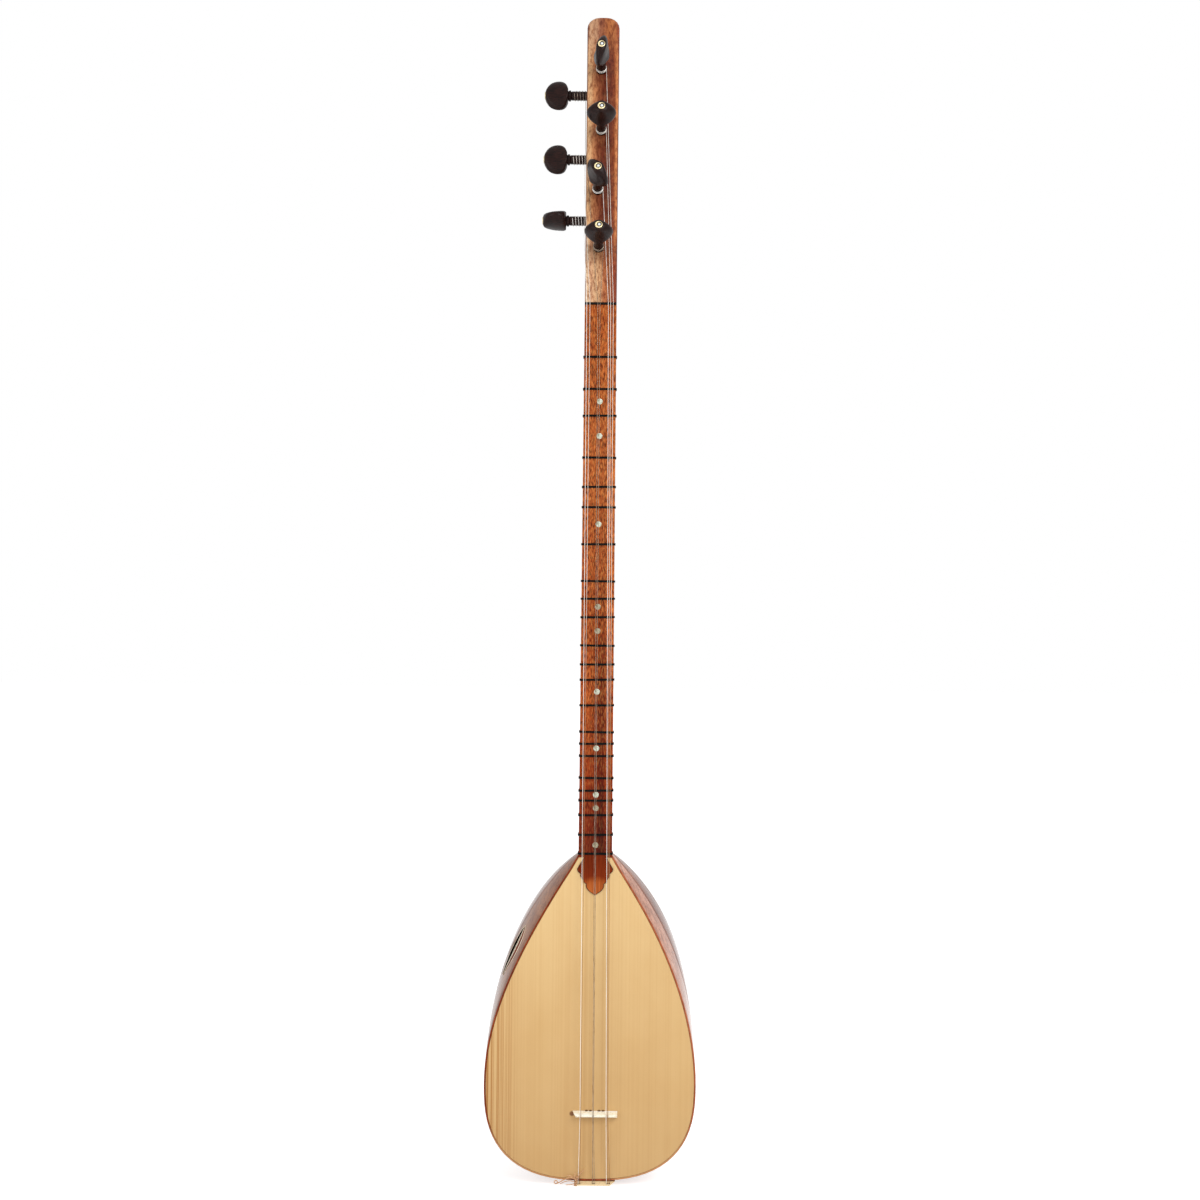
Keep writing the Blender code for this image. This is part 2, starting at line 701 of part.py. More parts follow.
def peg_mesh(name, stand, bored, button):
    """Peg along its own +Z: the head's face is at 0, the tip below it and the button above."""
    foot = stand - PEG_BUTTON_LENGTH
    width, thickness = button
    turned = [(PEG_TIP_RECESS - bored, PEG_TIP_RADIUS), (0.0, PEG_SHANK_RADIUS),
              (foot - PEG_COLLAR_LENGTH, PEG_SHANK_RADIUS),
              (foot - PEG_COLLAR_LENGTH / 2, PEG_COLLAR_RADIUS), (foot, PEG_SHANK_RADIUS)]
    rings = [superellipse_ring(height, radius, radius, 2.0) for height, radius in turned]
    for share, across, through, roundness in PEG_BUTTON_PROFILE:
        height = foot + PEG_BUTTON_LENGTH * share
        rings.append(superellipse_ring(height, width / 2 * across, thickness / 2 * through, roundness))
    rings += [superellipse_ring(height, PEG_EYE_RADIUS, PEG_EYE_RADIUS, 2.0)
              for height in (stand, stand + PEG_EYE_RISE)]
    return loft_mesh(name, rings)


def winding_route(pitch, loops, standoff):
    """Helix round a peg in its holder's frame, from where the string arrives; its end runs straight."""
    radius = PEG_SHANK_RADIUS + SEAT_GAP + STRING_RADIUS
    route = []
    for step in range(loops * LOOP_POINTS + 1):
        turn = step / LOOP_POINTS
        angle = 2.0 * math.pi * turn
        route.append(Vector((radius * math.cos(angle), radius * math.sin(angle),
                             standoff + pitch * turn)))
    straight = Vector((0.0, 2.0 * STRING_RADIUS, 0.0))
    return [route[0] - straight] + route + [route[-1] + straight]


def least_self_gap(route, radius):
    """Least distance between the tube's skin and itself, away from neighbouring points."""
    apart = LOOP_POINTS // 2
    least = min((route[first] - route[second]).length
                for first in range(len(route)) for second in range(first + apart, len(route)))
    return least - 2.0 * radius


def make_peg(name, place, turn, mesh, button_turn, bored, head):
    """A peg on an empty whose +Z is the peg's axis, and its hole in the head; gives the empty."""
    holder = add_empty(f"{name}_axis", place, turn, parent=head.parent)
    peg = add_part(name, mesh, "ebony", holder)
    peg.rotation_euler = Euler((0.0, 0.0, math.radians(button_turn)))
    low, high = -bored - PEG_HOLE_OVERRUN, PEG_HOLE_OVERRUN
    hole = cylinder_mesh(f"{name}_hole", (0.0, 0.0, low), (0.0, 0.0, high),
                         hole_radius(-low, bored), hole_radius(-high, bored), PEG_SIDES * 2)
    cut(head, add_cutter(f"{name}_hole", hole, holder))
    bpy.context.view_layer.update()
    return holder


def hole_radius(depth, bored):
    """Radius of a peg's hole at a depth, wider than the peg's taper by the seat gap."""
    taper = (PEG_SHANK_RADIUS - PEG_TIP_RADIUS) / bored
    return PEG_SHANK_RADIUS - taper * depth + SEAT_GAP * 1.2


def make_pegs(head):
    """All pegs with their holes; gives each winding's route by the peg's name."""
    routes = {}
    for number, (across, along) in enumerate(zip(FRONT_PEGS_ACROSS, FRONT_PEGS_ALONG)):
        name = f"peg_front_{number + 1}"
        mesh = peg_mesh(name, FRONT_PEG_STAND, HEAD_DEPTH, FRONT_BUTTONS[number])
        holder = make_peg(name, (across, 0.0, along), (math.radians(90.0), 0.0, 0.0), mesh,
                          FRONT_PEG_TURNS[number], HEAD_DEPTH, head)
        winding = winding_route(FRONT_WINDING_PITCH, FRONT_WINDING_LOOPS, FRONT_WINDING_STANDOFF)
        routes[name] = [holder.matrix_world @ point for point in winding]
    for number, along in enumerate(SIDE_PEGS_ALONG):
        name = f"peg_side_{number + 1}"
        mesh = peg_mesh(name, SIDE_PEG_STAND, HEAD_WIDTH, SIDE_BUTTON)
        holder = make_peg(name, (-HEAD_WIDTH / 2, HEAD_DEPTH / 2, along),
                          (math.radians(90.0), 0.0, math.radians(-90.0)), mesh,
                          SIDE_PEG_TURNS[number], HEAD_WIDTH, head)
        winding = winding_route(SIDE_WINDING_PITCH, SIDE_WINDING_LOOPS, SIDE_WINDING_STANDOFF)
        routes[name] = [holder.matrix_world @ point for point in winding]
    return routes


# Strings

def string_rest_y():
    return -(BRIDGE_RISE + SEAT_GAP * 2 + STRING_RADIUS)


def string_nut_y():
    return -(FINGERBOARD_RISE + NUT_RISE + SEAT_GAP + STRING_RADIUS)


def tail_hole_z():
    return TAILPIECE_TOP_Z - TAILPIECE_THICKNESS / 2


STRING_PEGS = (("peg_side_1", "peg_side_2"), ("peg_side_3", "peg_front_1"),
               ("peg_front_2", "peg_front_3", "peg_front_4"))


def string_route(course, place, winding, head_matrix):
    """Route of one string: tail hole, bridge, nut, and the winding on its peg."""
    tail_x = TAIL_STRINGS_X[course][place]
    nut_x = NUT_STRINGS_X[course][place]
    middle = (len(NUT_STRINGS_X[course]) - 1) / 2
    bridge_x = BRIDGE_COURSES_X[course] + (place - middle) * STRING_SPACING_BRIDGE
    hole_z = tail_hole_z()
    front = TAILPIECE_FRONT_Y
    route = [Vector((tail_x, front + STRING_HOLE_DEPTH - SEAT_GAP * 2, hole_z)),
             Vector((tail_x, front, hole_z)),
             Vector((tail_x, front - TAIL_BEND_OUT, hole_z + TAIL_BEND_RISE)),
             Vector((tail_x, -TAIL_EDGE_STAND, BOWL_TAIL_Z + TAIL_EDGE_RISE)),
             Vector((bridge_x, string_rest_y(), BRIDGE_HEIGHT_Z)),
             Vector((nut_x, string_nut_y(), NUT_Z - NUT_LENGTH / 2))]
    peg = STRING_PEGS[course][place]
    if peg.startswith("peg_side"):
        along = SIDE_PEGS_ALONG[int(peg[-1]) - 1]
        edge = Vector((-HEAD_WIDTH / 2 - HEAD_EDGE_STAND, -HEAD_EDGE_LIFT, along * HEAD_EDGE_SHARE))
        route.append(head_matrix @ edge)
    return route + winding


def make_strings(datum, head_matrix, windings):
    """Two pairs of strings and a group of three, each string with its winding."""
    for course, pegs in enumerate(STRING_PEGS):
        look = "copper" if course == 1 else "steel"
        for place, peg in enumerate(pegs):
            name = f"string_{sum(len(row) for row in STRING_PEGS[:course]) + place + 1}"
            route = string_route(course, place, windings[peg], head_matrix)
            add_part(name, tube_curve(name, route, STRING_RADIUS), look, datum)
            print(f"{name}: winding's least gap to itself {least_self_gap(route, STRING_RADIUS) * 1000:.2f} mm")


# Bridge and tailpiece

def make_bridge(parent):
    """Wedge with a narrow crest and small arches along its foot."""
    rings = []
    for rise, thickness, length in BRIDGE_PROFILE:
        y = -SEAT_GAP - (BRIDGE_RISE - SEAT_GAP) * rise
        end, side = BRIDGE_LENGTH / 2 * length, BRIDGE_FOOT / 2 * thickness
        rings.append([Vector((BRIDGE_MIDDLE + x, y, BRIDGE_HEIGHT_Z + z)) for x, z in
                      ((BRIDGE_END_SLANT - end, -side), (end, -side), (end, side), (-end, side))])
    bridge = add_part("bridge", loft_mesh("bridge", rings), "maple", parent)
    arches = bmesh.new()
    for x in BRIDGE_ARCHES_X:
        place = Matrix.Translation((x, -SEAT_GAP, BRIDGE_HEIGHT_Z))
        bmesh.ops.create_cone(arches, cap_ends=True, segments=12, radius1=BRIDGE_ARCH_RADIUS,
                              radius2=BRIDGE_ARCH_RADIUS, depth=BRIDGE_FOOT * 2, matrix=place)
    cut(bridge, add_cutter("bridge_arches", finish_mesh(arches, "bridge_arches"), parent))
    return bridge


def make_tailpiece(parent):
    half = TAILPIECE_WIDTH / 2
    front, back = TAILPIECE_FRONT_Y, TAILPIECE_FRONT_Y + TAILPIECE_DEPTH
    slope = TAILPIECE_BEVEL
    top, foot = TAILPIECE_TOP_Z, TAILPIECE_TOP_Z - TAILPIECE_THICKNESS
    outline = ((-half, foot), (half - slope, foot), (half, top), (-half, top))
    rings = [[Vector((TAILPIECE_MIDDLE + x, y, z)) for x, z in outline] for y in (front, back)]
    tailpiece = add_part("tailpiece", loft_mesh("tailpiece", rings), "maple", parent)
    bores = bmesh.new()
    for course in TAIL_STRINGS_X:
        for x in course:
            turn = Matrix.Rotation(math.radians(90.0), 4, "X")
            place = Matrix.Translation((x, front, tail_hole_z())) @ turn
            bmesh.ops.create_cone(bores, cap_ends=True, segments=8, radius1=STRING_RADIUS + SEAT_GAP * 1.3,
                                  radius2=STRING_RADIUS + SEAT_GAP * 1.3, depth=STRING_HOLE_DEPTH * 2,
                                  matrix=place)
    cut(tailpiece, add_cutter("tailpiece_bores", finish_mesh(bores, "tailpiece_bores"), parent))
    return tailpiece


# Assembly

def evaluated_corners(item, graph):
    shape = item.evaluated_get(graph)
    mesh = shape.to_mesh()
    corners = [item.matrix_world @ vertex.co for vertex in mesh.vertices]
    shape.to_mesh_clear()
    return corners


def centre_model(datum):
    """Move the model so that its origin is at the middle of the foot of its bounding box."""
    bpy.context.view_layer.update()
    graph = bpy.context.evaluated_depsgraph_get()
    corners = []
    for item in collection(PARTS).objects:
        if item.type != "EMPTY":
            corners += evaluated_corners(item, graph)
    low = [min(corner[axis] for corner in corners) for axis in range(3)]
    high = [max(corner[axis] for corner in corners) for axis in range(3)]
    datum.location = (-(low[0] + high[0]) / 2, -(low[1] + high[1]) / 2, -low[2])


def build():
    clear_scene()
    datum = add_empty("datum", (0.0, 0.0, 0.0))
    staves = [make_stave(number, datum) for number in range(STAVE_COUNT)]
    make_sound_hole(staves[0], datum)
    make_blocks(datum)
    make_tail_cap(datum)
    make_brace(datum)
    make_soundboard(datum)
    make_ornament(datum)
    make_neck(datum)
    make_fingerboard(datum)
    for number, cents in enumerate(FRET_CENTS, start=1):
        make_fret(number, cents, datum)
    make_nut(datum)
    make_bridge(datum)
    make_tailpiece(datum)
    head_frame = add_empty("head_frame", (0.0, -FINGERBOARD_RISE, NUT_Z), (-HEAD_ANGLE, 0.0, 0.0), datum)
    head = make_head(head_frame)
    windings = make_pegs(head)
    make_strings(datum, head_frame.matrix_world.copy(), windings)
    centre_model(datum)
    bpy.context.view_layer.update()


build()
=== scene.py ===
"""Looks of a long-neck saz: procedural woods, fine staves, turned pegs, tied frets and pearl dots."""
import math

import bmesh
import bpy
from mathutils import Matrix, Vector


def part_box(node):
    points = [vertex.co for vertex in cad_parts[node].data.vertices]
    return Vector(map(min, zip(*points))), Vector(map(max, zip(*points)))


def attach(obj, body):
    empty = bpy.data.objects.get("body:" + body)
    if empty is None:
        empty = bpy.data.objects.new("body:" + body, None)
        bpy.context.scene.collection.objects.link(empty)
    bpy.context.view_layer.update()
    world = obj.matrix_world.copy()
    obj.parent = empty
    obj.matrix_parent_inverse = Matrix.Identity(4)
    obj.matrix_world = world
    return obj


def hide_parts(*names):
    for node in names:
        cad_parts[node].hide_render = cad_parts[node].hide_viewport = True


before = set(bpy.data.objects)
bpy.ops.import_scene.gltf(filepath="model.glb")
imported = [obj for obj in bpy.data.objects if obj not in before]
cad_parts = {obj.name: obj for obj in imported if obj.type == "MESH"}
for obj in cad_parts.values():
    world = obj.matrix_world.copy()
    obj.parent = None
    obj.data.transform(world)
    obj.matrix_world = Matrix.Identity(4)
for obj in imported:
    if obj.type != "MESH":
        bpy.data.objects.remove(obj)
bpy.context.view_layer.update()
SCENE = bpy.context.scene

# Sizes shared with the solids, in metres; angles in degrees but for the head's
SEAT_GAP = 0.0003
BOARD_THICKNESS = 0.004
RIM_Y = BOARD_THICKNESS + SEAT_GAP
BRIDGE_Z = 0.073
SCALE_LENGTH = 0.8113
NUT_Z = BRIDGE_Z + SCALE_LENGTH
FRET_CENTS = (120, 195, 260, 367, 446, 503, 612, 728, 786, 849, 951, 1022,
              1082, 1187, 1304, 1358, 1416, 1526, 1592, 1646, 1728, 1846, 1967)
TAIL_Z, BELLY_Z = 0.0062, 0.103
TOP_Z = BRIDGE_Z + SCALE_LENGTH * 2.0 ** (-FRET_CENTS[-1] / 1200.0) - 0.001
BOARD_HALF, HEEL_HALF = 0.106, 0.0178
BOWL_DEPTH, DEPTH_BELLY_Z, HEEL_DEPTH = 0.185, 0.112, 0.031
FRONT_ROUNDNESS, BACK_ROUNDNESS = 2.63, 2.2
SOLID_STAVES, STAVE_WALL = 9, 0.003
STAVE_LOW_Z = TAIL_Z + 0.003
NECK_NUT, NECK_BODY = 0.0318, 0.0335
# Curves of the bowl above its belly: half width or depth, and height
BOARD_ANCHORS = ((BOARD_HALF, BELLY_Z), (BOARD_HALF, 0.213), (NECK_BODY / 2, TOP_Z - 0.007),
                 (NECK_BODY / 2, TOP_Z))
FLANK_ANCHORS = ((BOARD_HALF, BELLY_Z), (BOARD_HALF, 0.1565), (0.096, 0.268), (HEEL_HALF, TOP_Z))
DEPTH_ANCHORS = ((BOWL_DEPTH, DEPTH_BELLY_Z), (BOWL_DEPTH, 0.190), (0.125, 0.302), (HEEL_DEPTH, TOP_Z))
DEPTH_NUT = 0.026
NECK_FLAT_SIDE, NECK_FULLNESS = 0.22, 0.8
FINGERBOARD_THICKNESS, BOARD_RISE = 0.003, 0.0013
HEAD_ANGLE, HEAD_WIDTH, HEAD_DEPTH = math.radians(18.0), 0.0335, 0.026
BODY_LEAN, LEAN_LOW_Z, LEAN_HIGH_Z = 0.0032, 0.12, 0.29
FRONT_PEGS = ((-0.0027, 0.0604), (-0.0042, 0.1254), (-0.0013, 0.1937), (-0.0018, 0.2652))
FRONT_TURNS, FRONT_STAND = (0.0, -54.0, 0.0, 78.0), 0.050
FRONT_BUTTONS = ((0.0285, 0.0185), (0.0310, 0.0180), (0.0298, 0.0205), (0.0325, 0.0160))
SIDE_PEGS, SIDE_TURNS = (0.0974, 0.1676, 0.2424), (0.0, 90.0, 90.0)
SIDE_STAND, SIDE_BUTTON = 0.043, (0.0330, 0.0190)
BUTTON_LENGTH = 0.024
PEG_SHANK = 0.0047
# A peg's button: share of its length, of its width and of its thickness, and roundness
PEG_BUTTON = ((0.02, 0.46, 1.00, 2.0), (0.10, 0.76, 0.94, 2.1), (0.22, 0.93, 0.85, 2.0),
              (0.37, 1.00, 0.78, 1.9), (0.55, 0.98, 0.72, 1.9), (0.72, 0.88, 0.68, 1.9),
              (0.86, 0.68, 0.67, 2.0), (0.96, 0.42, 0.64, 2.0))
BRIDGE_ARCHES = (-0.0063, -0.0023, 0.0063, 0.0104)
HOLE_SHARE, HOLE_Z = 0.0565, 0.232
HOLE_LENGTH, HOLE_WIDTH, HOLE_FULLNESS = 0.0500, 0.0108, 0.7
ORNAMENT_LENGTH, ORNAMENT_NECK_HALF, ORNAMENT_TOP = 0.0402, 0.0106, 0.0027
# Half widths of the ornament and heights above its tip
ORNAMENT_EDGE = ((0.0176, 0.0256), (0.0170, 0.0236), (0.0150, 0.0217), (0.0140, 0.0208),
                 (0.0144, 0.0190), (0.0132, 0.0170), (0.0114, 0.0152), (0.0112, 0.0130),
                 (0.0098, 0.0118), (0.0083, 0.0106), (0.0087, 0.0088), (0.0078, 0.0064),
                 (0.0054, 0.0036))

# Sizes of the looks alone
STAVE_EDGES = [0.0] + [0.085 + 0.86 * step / 12 for step in range(13)] + [1.0]
JOINT_GAP, EDGE_WIDTH, EDGE_DROP = 0.00012, 0.0006, 0.0004
HOLE_CUT, HOLE_FACING = 0.006, (-0.898, -0.240, 0.369)
# Bands round the hole: growth towards the board, away from it and along the leaf
BAND_EDGES = ((-0.0003, -0.0003, 0.0), (0.0016, 0.0001, 0.0002), (0.0064, 0.0003, 0.0006),
              (0.0075, 0.0005, 0.0009))
BAND_SINK, BAND_STAND = 0.0006, 0.00025
SLOPE_STEP = 0.001
STRAND = 0.00034
FRET_TILTS = (0.0, 0.0, 0.4, -0.3, 0.5, 0.0, 0.3, -0.6, 0.5, 0.8, -0.4, 0.6,
              0.9, 0.5, -0.7, 0.6, 0.3, -0.5, 0.9, 0.4, 0.7, 0.6, 0.2)
KNOT_POINT, KNOT_HALF = 10, 0.0012
KNOT_STAND, KNOT_DEPTH, KNOT_HEIGHT = 0.0006, 0.0007, 0.0013
DOT_HEIGHTS = (0.7854, 0.7509, 0.6627, 0.5802, 0.5559, 0.4953, 0.4387, 0.3923, 0.3789, 0.3420)
DULL_DOTS = (4, 5, 9, 10)
DOT_PROFILE = ((0.0, -0.0006), (0.0029, -0.0006), (0.0029, 0.00002), (0.0027, 0.0001), (0.0, 0.00012))
NUT_HALF = 0.00125
LINE_Y, LINE_RADIUS = -0.0008, 0.00055
# A peg's heights and radii, from its far end, from its button's foot and from its button's end
PEG_START = ((0.0006, 0.0033), (0.0010, 0.0037))
PEG_COLLAR = ((-0.0036, 0.0047), (-0.0032, 0.0042), (-0.0028, 0.0047), (-0.0022, 0.0057),
              (-0.0010, 0.0058), (-0.0002, 0.0048), (0.0001, 0.0048))
PEG_END = ((0.0, 0.0041), (0.0001, 0.0031), (-0.0008, 0.0030))
EYE_SHIFT = 0.00042
# A peg's ring: radius, height and share of the eye's shift; its pearl: radius and height
EYE_RING = ((0.0025, -0.0008, 1.0), (0.0025, 0.0003, 1.0), (0.0028, 0.0006, 0.8),
            (0.0033, 0.0006, 0.3), (0.0037, 0.0003, 0.0), (0.0037, -0.0004, 0.0))
EYE_PEARL = ((0.0015, -0.0009), (0.0015, 0.0000), (0.0011, 0.0004), (0.0005, 0.0006))

# Steps of the meshes, and the smooth angle of turned forms
ROUND_SIDES, OVAL_SIDES, TURNED_ANGLE = 32, 40, 50.0
STAVE_STEPS, GIRTH_STEPS, HOLE_STEPS, NECK_STEPS = 63, 48, 32, 32
ROUTE_STEPS, ROW_STEPS, TURN_STEPS = 5, 4, 12

# Camera and light
CAMERA_LENS, CAMERA_ROLL = 64.5, -0.57
CAMERA_SHIFT, CAMERA_DISTANCE, CAMERA_HEIGHT = 0.0022, 2.15, 0.586
LAMP_AIM = (0.0, -0.05, 0.5)
FLOOR_HALF, FLOOR_GLOW, WORLD_LEVEL = 12.0, 0.66, 0.62

# The solids' datum, read from the nut and the soundboard's face
NUT_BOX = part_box("nut")
DATUM = Vector((sum(corner.x for corner in NUT_BOX) / 2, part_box("soundboard")[0].y,
                NUT_BOX[1].z - (NUT_Z - SEAT_GAP)))


# Material building

def rgb(red, green, blue):
    """Colour from 0 to 255 values as the eye sees them."""
    values = []
    for value in (red, green, blue):
        share = value / 255.0
        values.append(share / 12.92 if share <= 0.04045 else ((share + 0.055) / 1.055) ** 2.4)
    return (*values, 1.0)


WHITE = (255, 255, 255)


class Paint:
    """A material's node tree with short calls for the nodes it needs."""

    def __init__(self, name):
        self.material = bpy.data.materials.new(name)
        self.material.use_nodes = True
        self.tree = self.material.node_tree
        self.shader = self.tree.nodes["Principled BSDF"]
        self.place = self.tree.nodes.new("ShaderNodeTexCoord").outputs["Object"]

    def add(self, kind, **settings):
        """New node of a kind, with its properties set."""
        node = self.tree.nodes.new(kind)
        for key, value in settings.items():
            setattr(node, key, value)
        return node

    def feed(self, socket, value):
        """Link an output to a socket, or write a plain value there."""
        if isinstance(value, bpy.types.NodeSocket):
            self.tree.links.new(value, socket)
        else:
            socket.default_value = value

    def stretched(self, scale, shift=(0.0, 0.0, 0.0)):
        """Place on the piece, scaled and moved for a texture."""
        node = self.add("ShaderNodeMapping")
        self.feed(node.inputs["Vector"], self.place)
        node.inputs["Scale"].default_value = scale
        node.inputs["Location"].default_value = shift
        return node.outputs["Vector"]

    def noise(self, scale, detail=3.0, rough=0.5, shift=(0.0, 0.0, 0.0), warp=0.0):
        """Noise with a scale along each axis."""
        node = self.add("ShaderNodeTexNoise")
        self.feed(node.inputs["Vector"], self.stretched(scale, shift))
        node.inputs["Scale"].default_value = 1.0
        node.inputs["Detail"].default_value = detail
        node.inputs["Roughness"].default_value = rough
        node.inputs["Distortion"].default_value = warp
        return node.outputs["Fac"]

    def ramp(self, value, *stops):
        """Colours, 0 to 255, or levels, 0 to 1, that follow a value from stop to stop."""
        node = self.add("ShaderNodeValToRGB")
        self.feed(node.inputs["Fac"], value)
        marks = node.color_ramp.elements
        while len(marks) < len(stops):
            marks.new(0.5)
        for mark, (place, colour) in zip(marks, stops):
            mark.position = place
            mark.color = rgb(*colour) if isinstance(colour, tuple) else (colour, colour, colour, 1.0)
        return node.outputs["Color"]

    def blend(self, share, first, second, how="MIX"):
        """Second colour over the first by a share."""
        node = self.add("ShaderNodeMix", data_type="RGBA", blend_type=how)
        self.feed(node.inputs["Factor"], share)
        self.feed(node.inputs[6], first)
        self.feed(node.inputs[7], second)
        return node.outputs[2]

    def shade(self, tone, share, value, *stops):
        """Darken a tone, by a share, by the colours that follow a value."""
        return self.blend(share, tone, self.ramp(value, *stops), "MULTIPLY")

    def calc(self, how, first, second=0.0, third=0.0):
        """Math node; MULTIPLY_ADD takes three values."""
        node = self.add("ShaderNodeMath", operation=how)
        for socket, value in zip(node.inputs, (first, second, third)):
            self.feed(socket, value)
        return node.outputs["Value"]

    def facing(self, direction):
        """How far the surface, in the piece's own frame, faces a direction."""
        node = self.add("ShaderNodeVectorMath", operation="DOT_PRODUCT")
        self.feed(node.inputs[0], self.place.node.outputs["Normal"])
        node.inputs[1].default_value = direction
        return node.outputs["Value"]

    def axis(self, name):
        """X, Y or Z of the place on the piece."""
        node = self.add("ShaderNodeSeparateXYZ")
        self.feed(node.inputs["Vector"], self.place)
        return node.outputs[name]

    def across(self):
        """Distance to the right of the neck's middle, on a solid."""
        return self.calc("SUBTRACT", self.axis("X"), DATUM.x)

    def spot(self, across, height, half_width, half_height):
        """Share that falls from 1 at a place on a solid to 0 at its edge."""
        scale = (1.0 / half_width, 0.0, 1.0 / half_height)
        shift = (-(across + DATUM.x) * scale[0], 0.0, -(height + DATUM.z) * scale[2])
        node = self.add("ShaderNodeVectorMath", operation="LENGTH")
        self.feed(node.inputs[0], self.stretched(scale, shift))
        return self.calc("MAXIMUM", self.calc("SUBTRACT", 1.0, node.outputs["Value"]), 0.0)

    def bump(self, height, strength, distance=0.0002):
        """Fine relief from a value."""
        node = self.add("ShaderNodeBump")
        node.inputs["Strength"].default_value = strength
        node.inputs["Distance"].default_value = distance
        self.feed(node.inputs["Height"], height)
        self.feed(self.shader.inputs["Normal"], node.outputs["Normal"])

    def finish(self, colour, value, smooth, rough, top=0.8, **fixed):
        """Feed the shader; it gets rougher as the value goes from 0.3 to the top."""
        self.feed(self.shader.inputs["Base Color"], colour)
        self.feed(self.shader.inputs["Roughness"], self.ramp(value, (0.3, smooth), (top, rough)))
        for key, value in fixed.items():
            self.shader.inputs[key.replace("_", " ")].default_value = value
        return self.material


# Woods

def spruce():
    """Soundboard: straight fine grain, paler above, tanned below; painted shade under each string and by
    the bridge.
    """
    paint = Paint("spruce")
    across = paint.across()
    bands = paint.noise((30.0, 2.0, 0.5), 3.0, 0.55, (3.0, 0.0, 0.0))
    lines = paint.noise((520.0, 20.0, 1.2), 2.0, 0.5)
    fibres = paint.noise((1500.0, 60.0, 18.0), 2.0, 0.6)
    height = paint.calc("MULTIPLY_ADD", paint.noise((9.0, 9.0, 6.0), 2.0), 0.10, paint.axis("Z"))
    tone = paint.ramp(paint.calc("MULTIPLY", height, 2.6), (0.12, (201, 163, 110)),
                      (0.50, (212, 174, 118)), (0.96, (228, 194, 138)))
    tone = paint.shade(tone, 0.3, bands, (0.30, (243, 237, 230)), (0.50, WHITE), (0.75, (255, 254, 250)))
    tone = paint.shade(tone, 0.2, lines, (0.38, (236, 222, 204)), (0.54, WHITE))
    clouds = paint.noise((22.0, 6.0, 14.0), 3.0, 0.55)
    tone = paint.shade(tone, 0.5, clouds, (0.35, (246, 240, 230)), (0.65, WHITE))
    # Painted shadows on the board under each string: darker stripes along them
    string_shadows = paint.calc("MULTIPLY_ADD", across, 20.0, 0.5)
    tone = paint.shade(
        tone, 0.5, string_shadows, (0.28, WHITE), (0.33, (238, 228, 214)), (0.39, WHITE), (0.46, (240, 232, 220)),
        (0.53, WHITE), (0.64, WHITE), (0.68, (240, 230, 218)), (0.73, WHITE))
    edge = paint.calc("SMOOTH_MIN", paint.calc("MULTIPLY_ADD", across, -30.0, -2.1), 1.0, 0.3)
    fine = paint.noise((900.0, 10.0, 1.5), 1.0)
    tone = paint.shade(tone, paint.calc("MAXIMUM", edge, 0.0), fine, (0.42, (206, 170, 122)), (0.56, WHITE))
    # Painted shade on the board inside the bridge's arches
    for arch in BRIDGE_ARCHES:
        painted_shade = paint.ramp(paint.spot(arch, BRIDGE_Z + 0.0026, 0.0024, 0.0022), (0.1, 0.0), (0.5, 0.90))
        tone = paint.blend(painted_shade, tone, rgb(84, 44, 24))
    # Painted shadow of the bridge's left end on the board
    bridge_end_shadow = paint.ramp(paint.spot(-0.0208, BRIDGE_Z + 0.0002, 0.0034, 0.0034), (0.1, 0.0), (0.5, 0.90))
    tone = paint.blend(bridge_end_shadow, tone, rgb(108, 62, 30))
    paint.bump(lines, 0.08)
    return paint.finish(
        tone, fibres, 0.38, 0.48, Specular_IOR_Level=0.3, Coat_Weight=0.12, Coat_Roughness=0.3)


def reddish(name, dark, light, red, shift, coat=0.8):
    """Glossy reddish wood with long grain, pores and slow changes of tone."""
    paint = Paint(name)
    broad = paint.noise((26.0, 26.0, 4.0), 4.0, 0.6, shift, 0.4)
    grain = paint.noise((260.0, 260.0, 9.0), 3.0, 0.6, shift)
    pores = paint.noise((900.0, 900.0, 55.0), 2.0, 0.5, shift)
    tone = paint.ramp(broad, (0.30, dark), (0.52, red), (0.74, light))
    tone = paint.shade(tone, 0.5, grain, (0.36, (150, 118, 104)), (0.58, (255, 250, 246)))
    tone = paint.shade(tone, 0.55, pores, (0.34, (120, 84, 72)), (0.42, WHITE))
    paint.bump(pores, 0.10)
    return paint.finish(tone, grain, 0.30, 0.42, Specular_IOR_Level=0.3, Coat_Weight=coat,
                        Coat_Roughness=0.10, Coat_IOR=1.6)


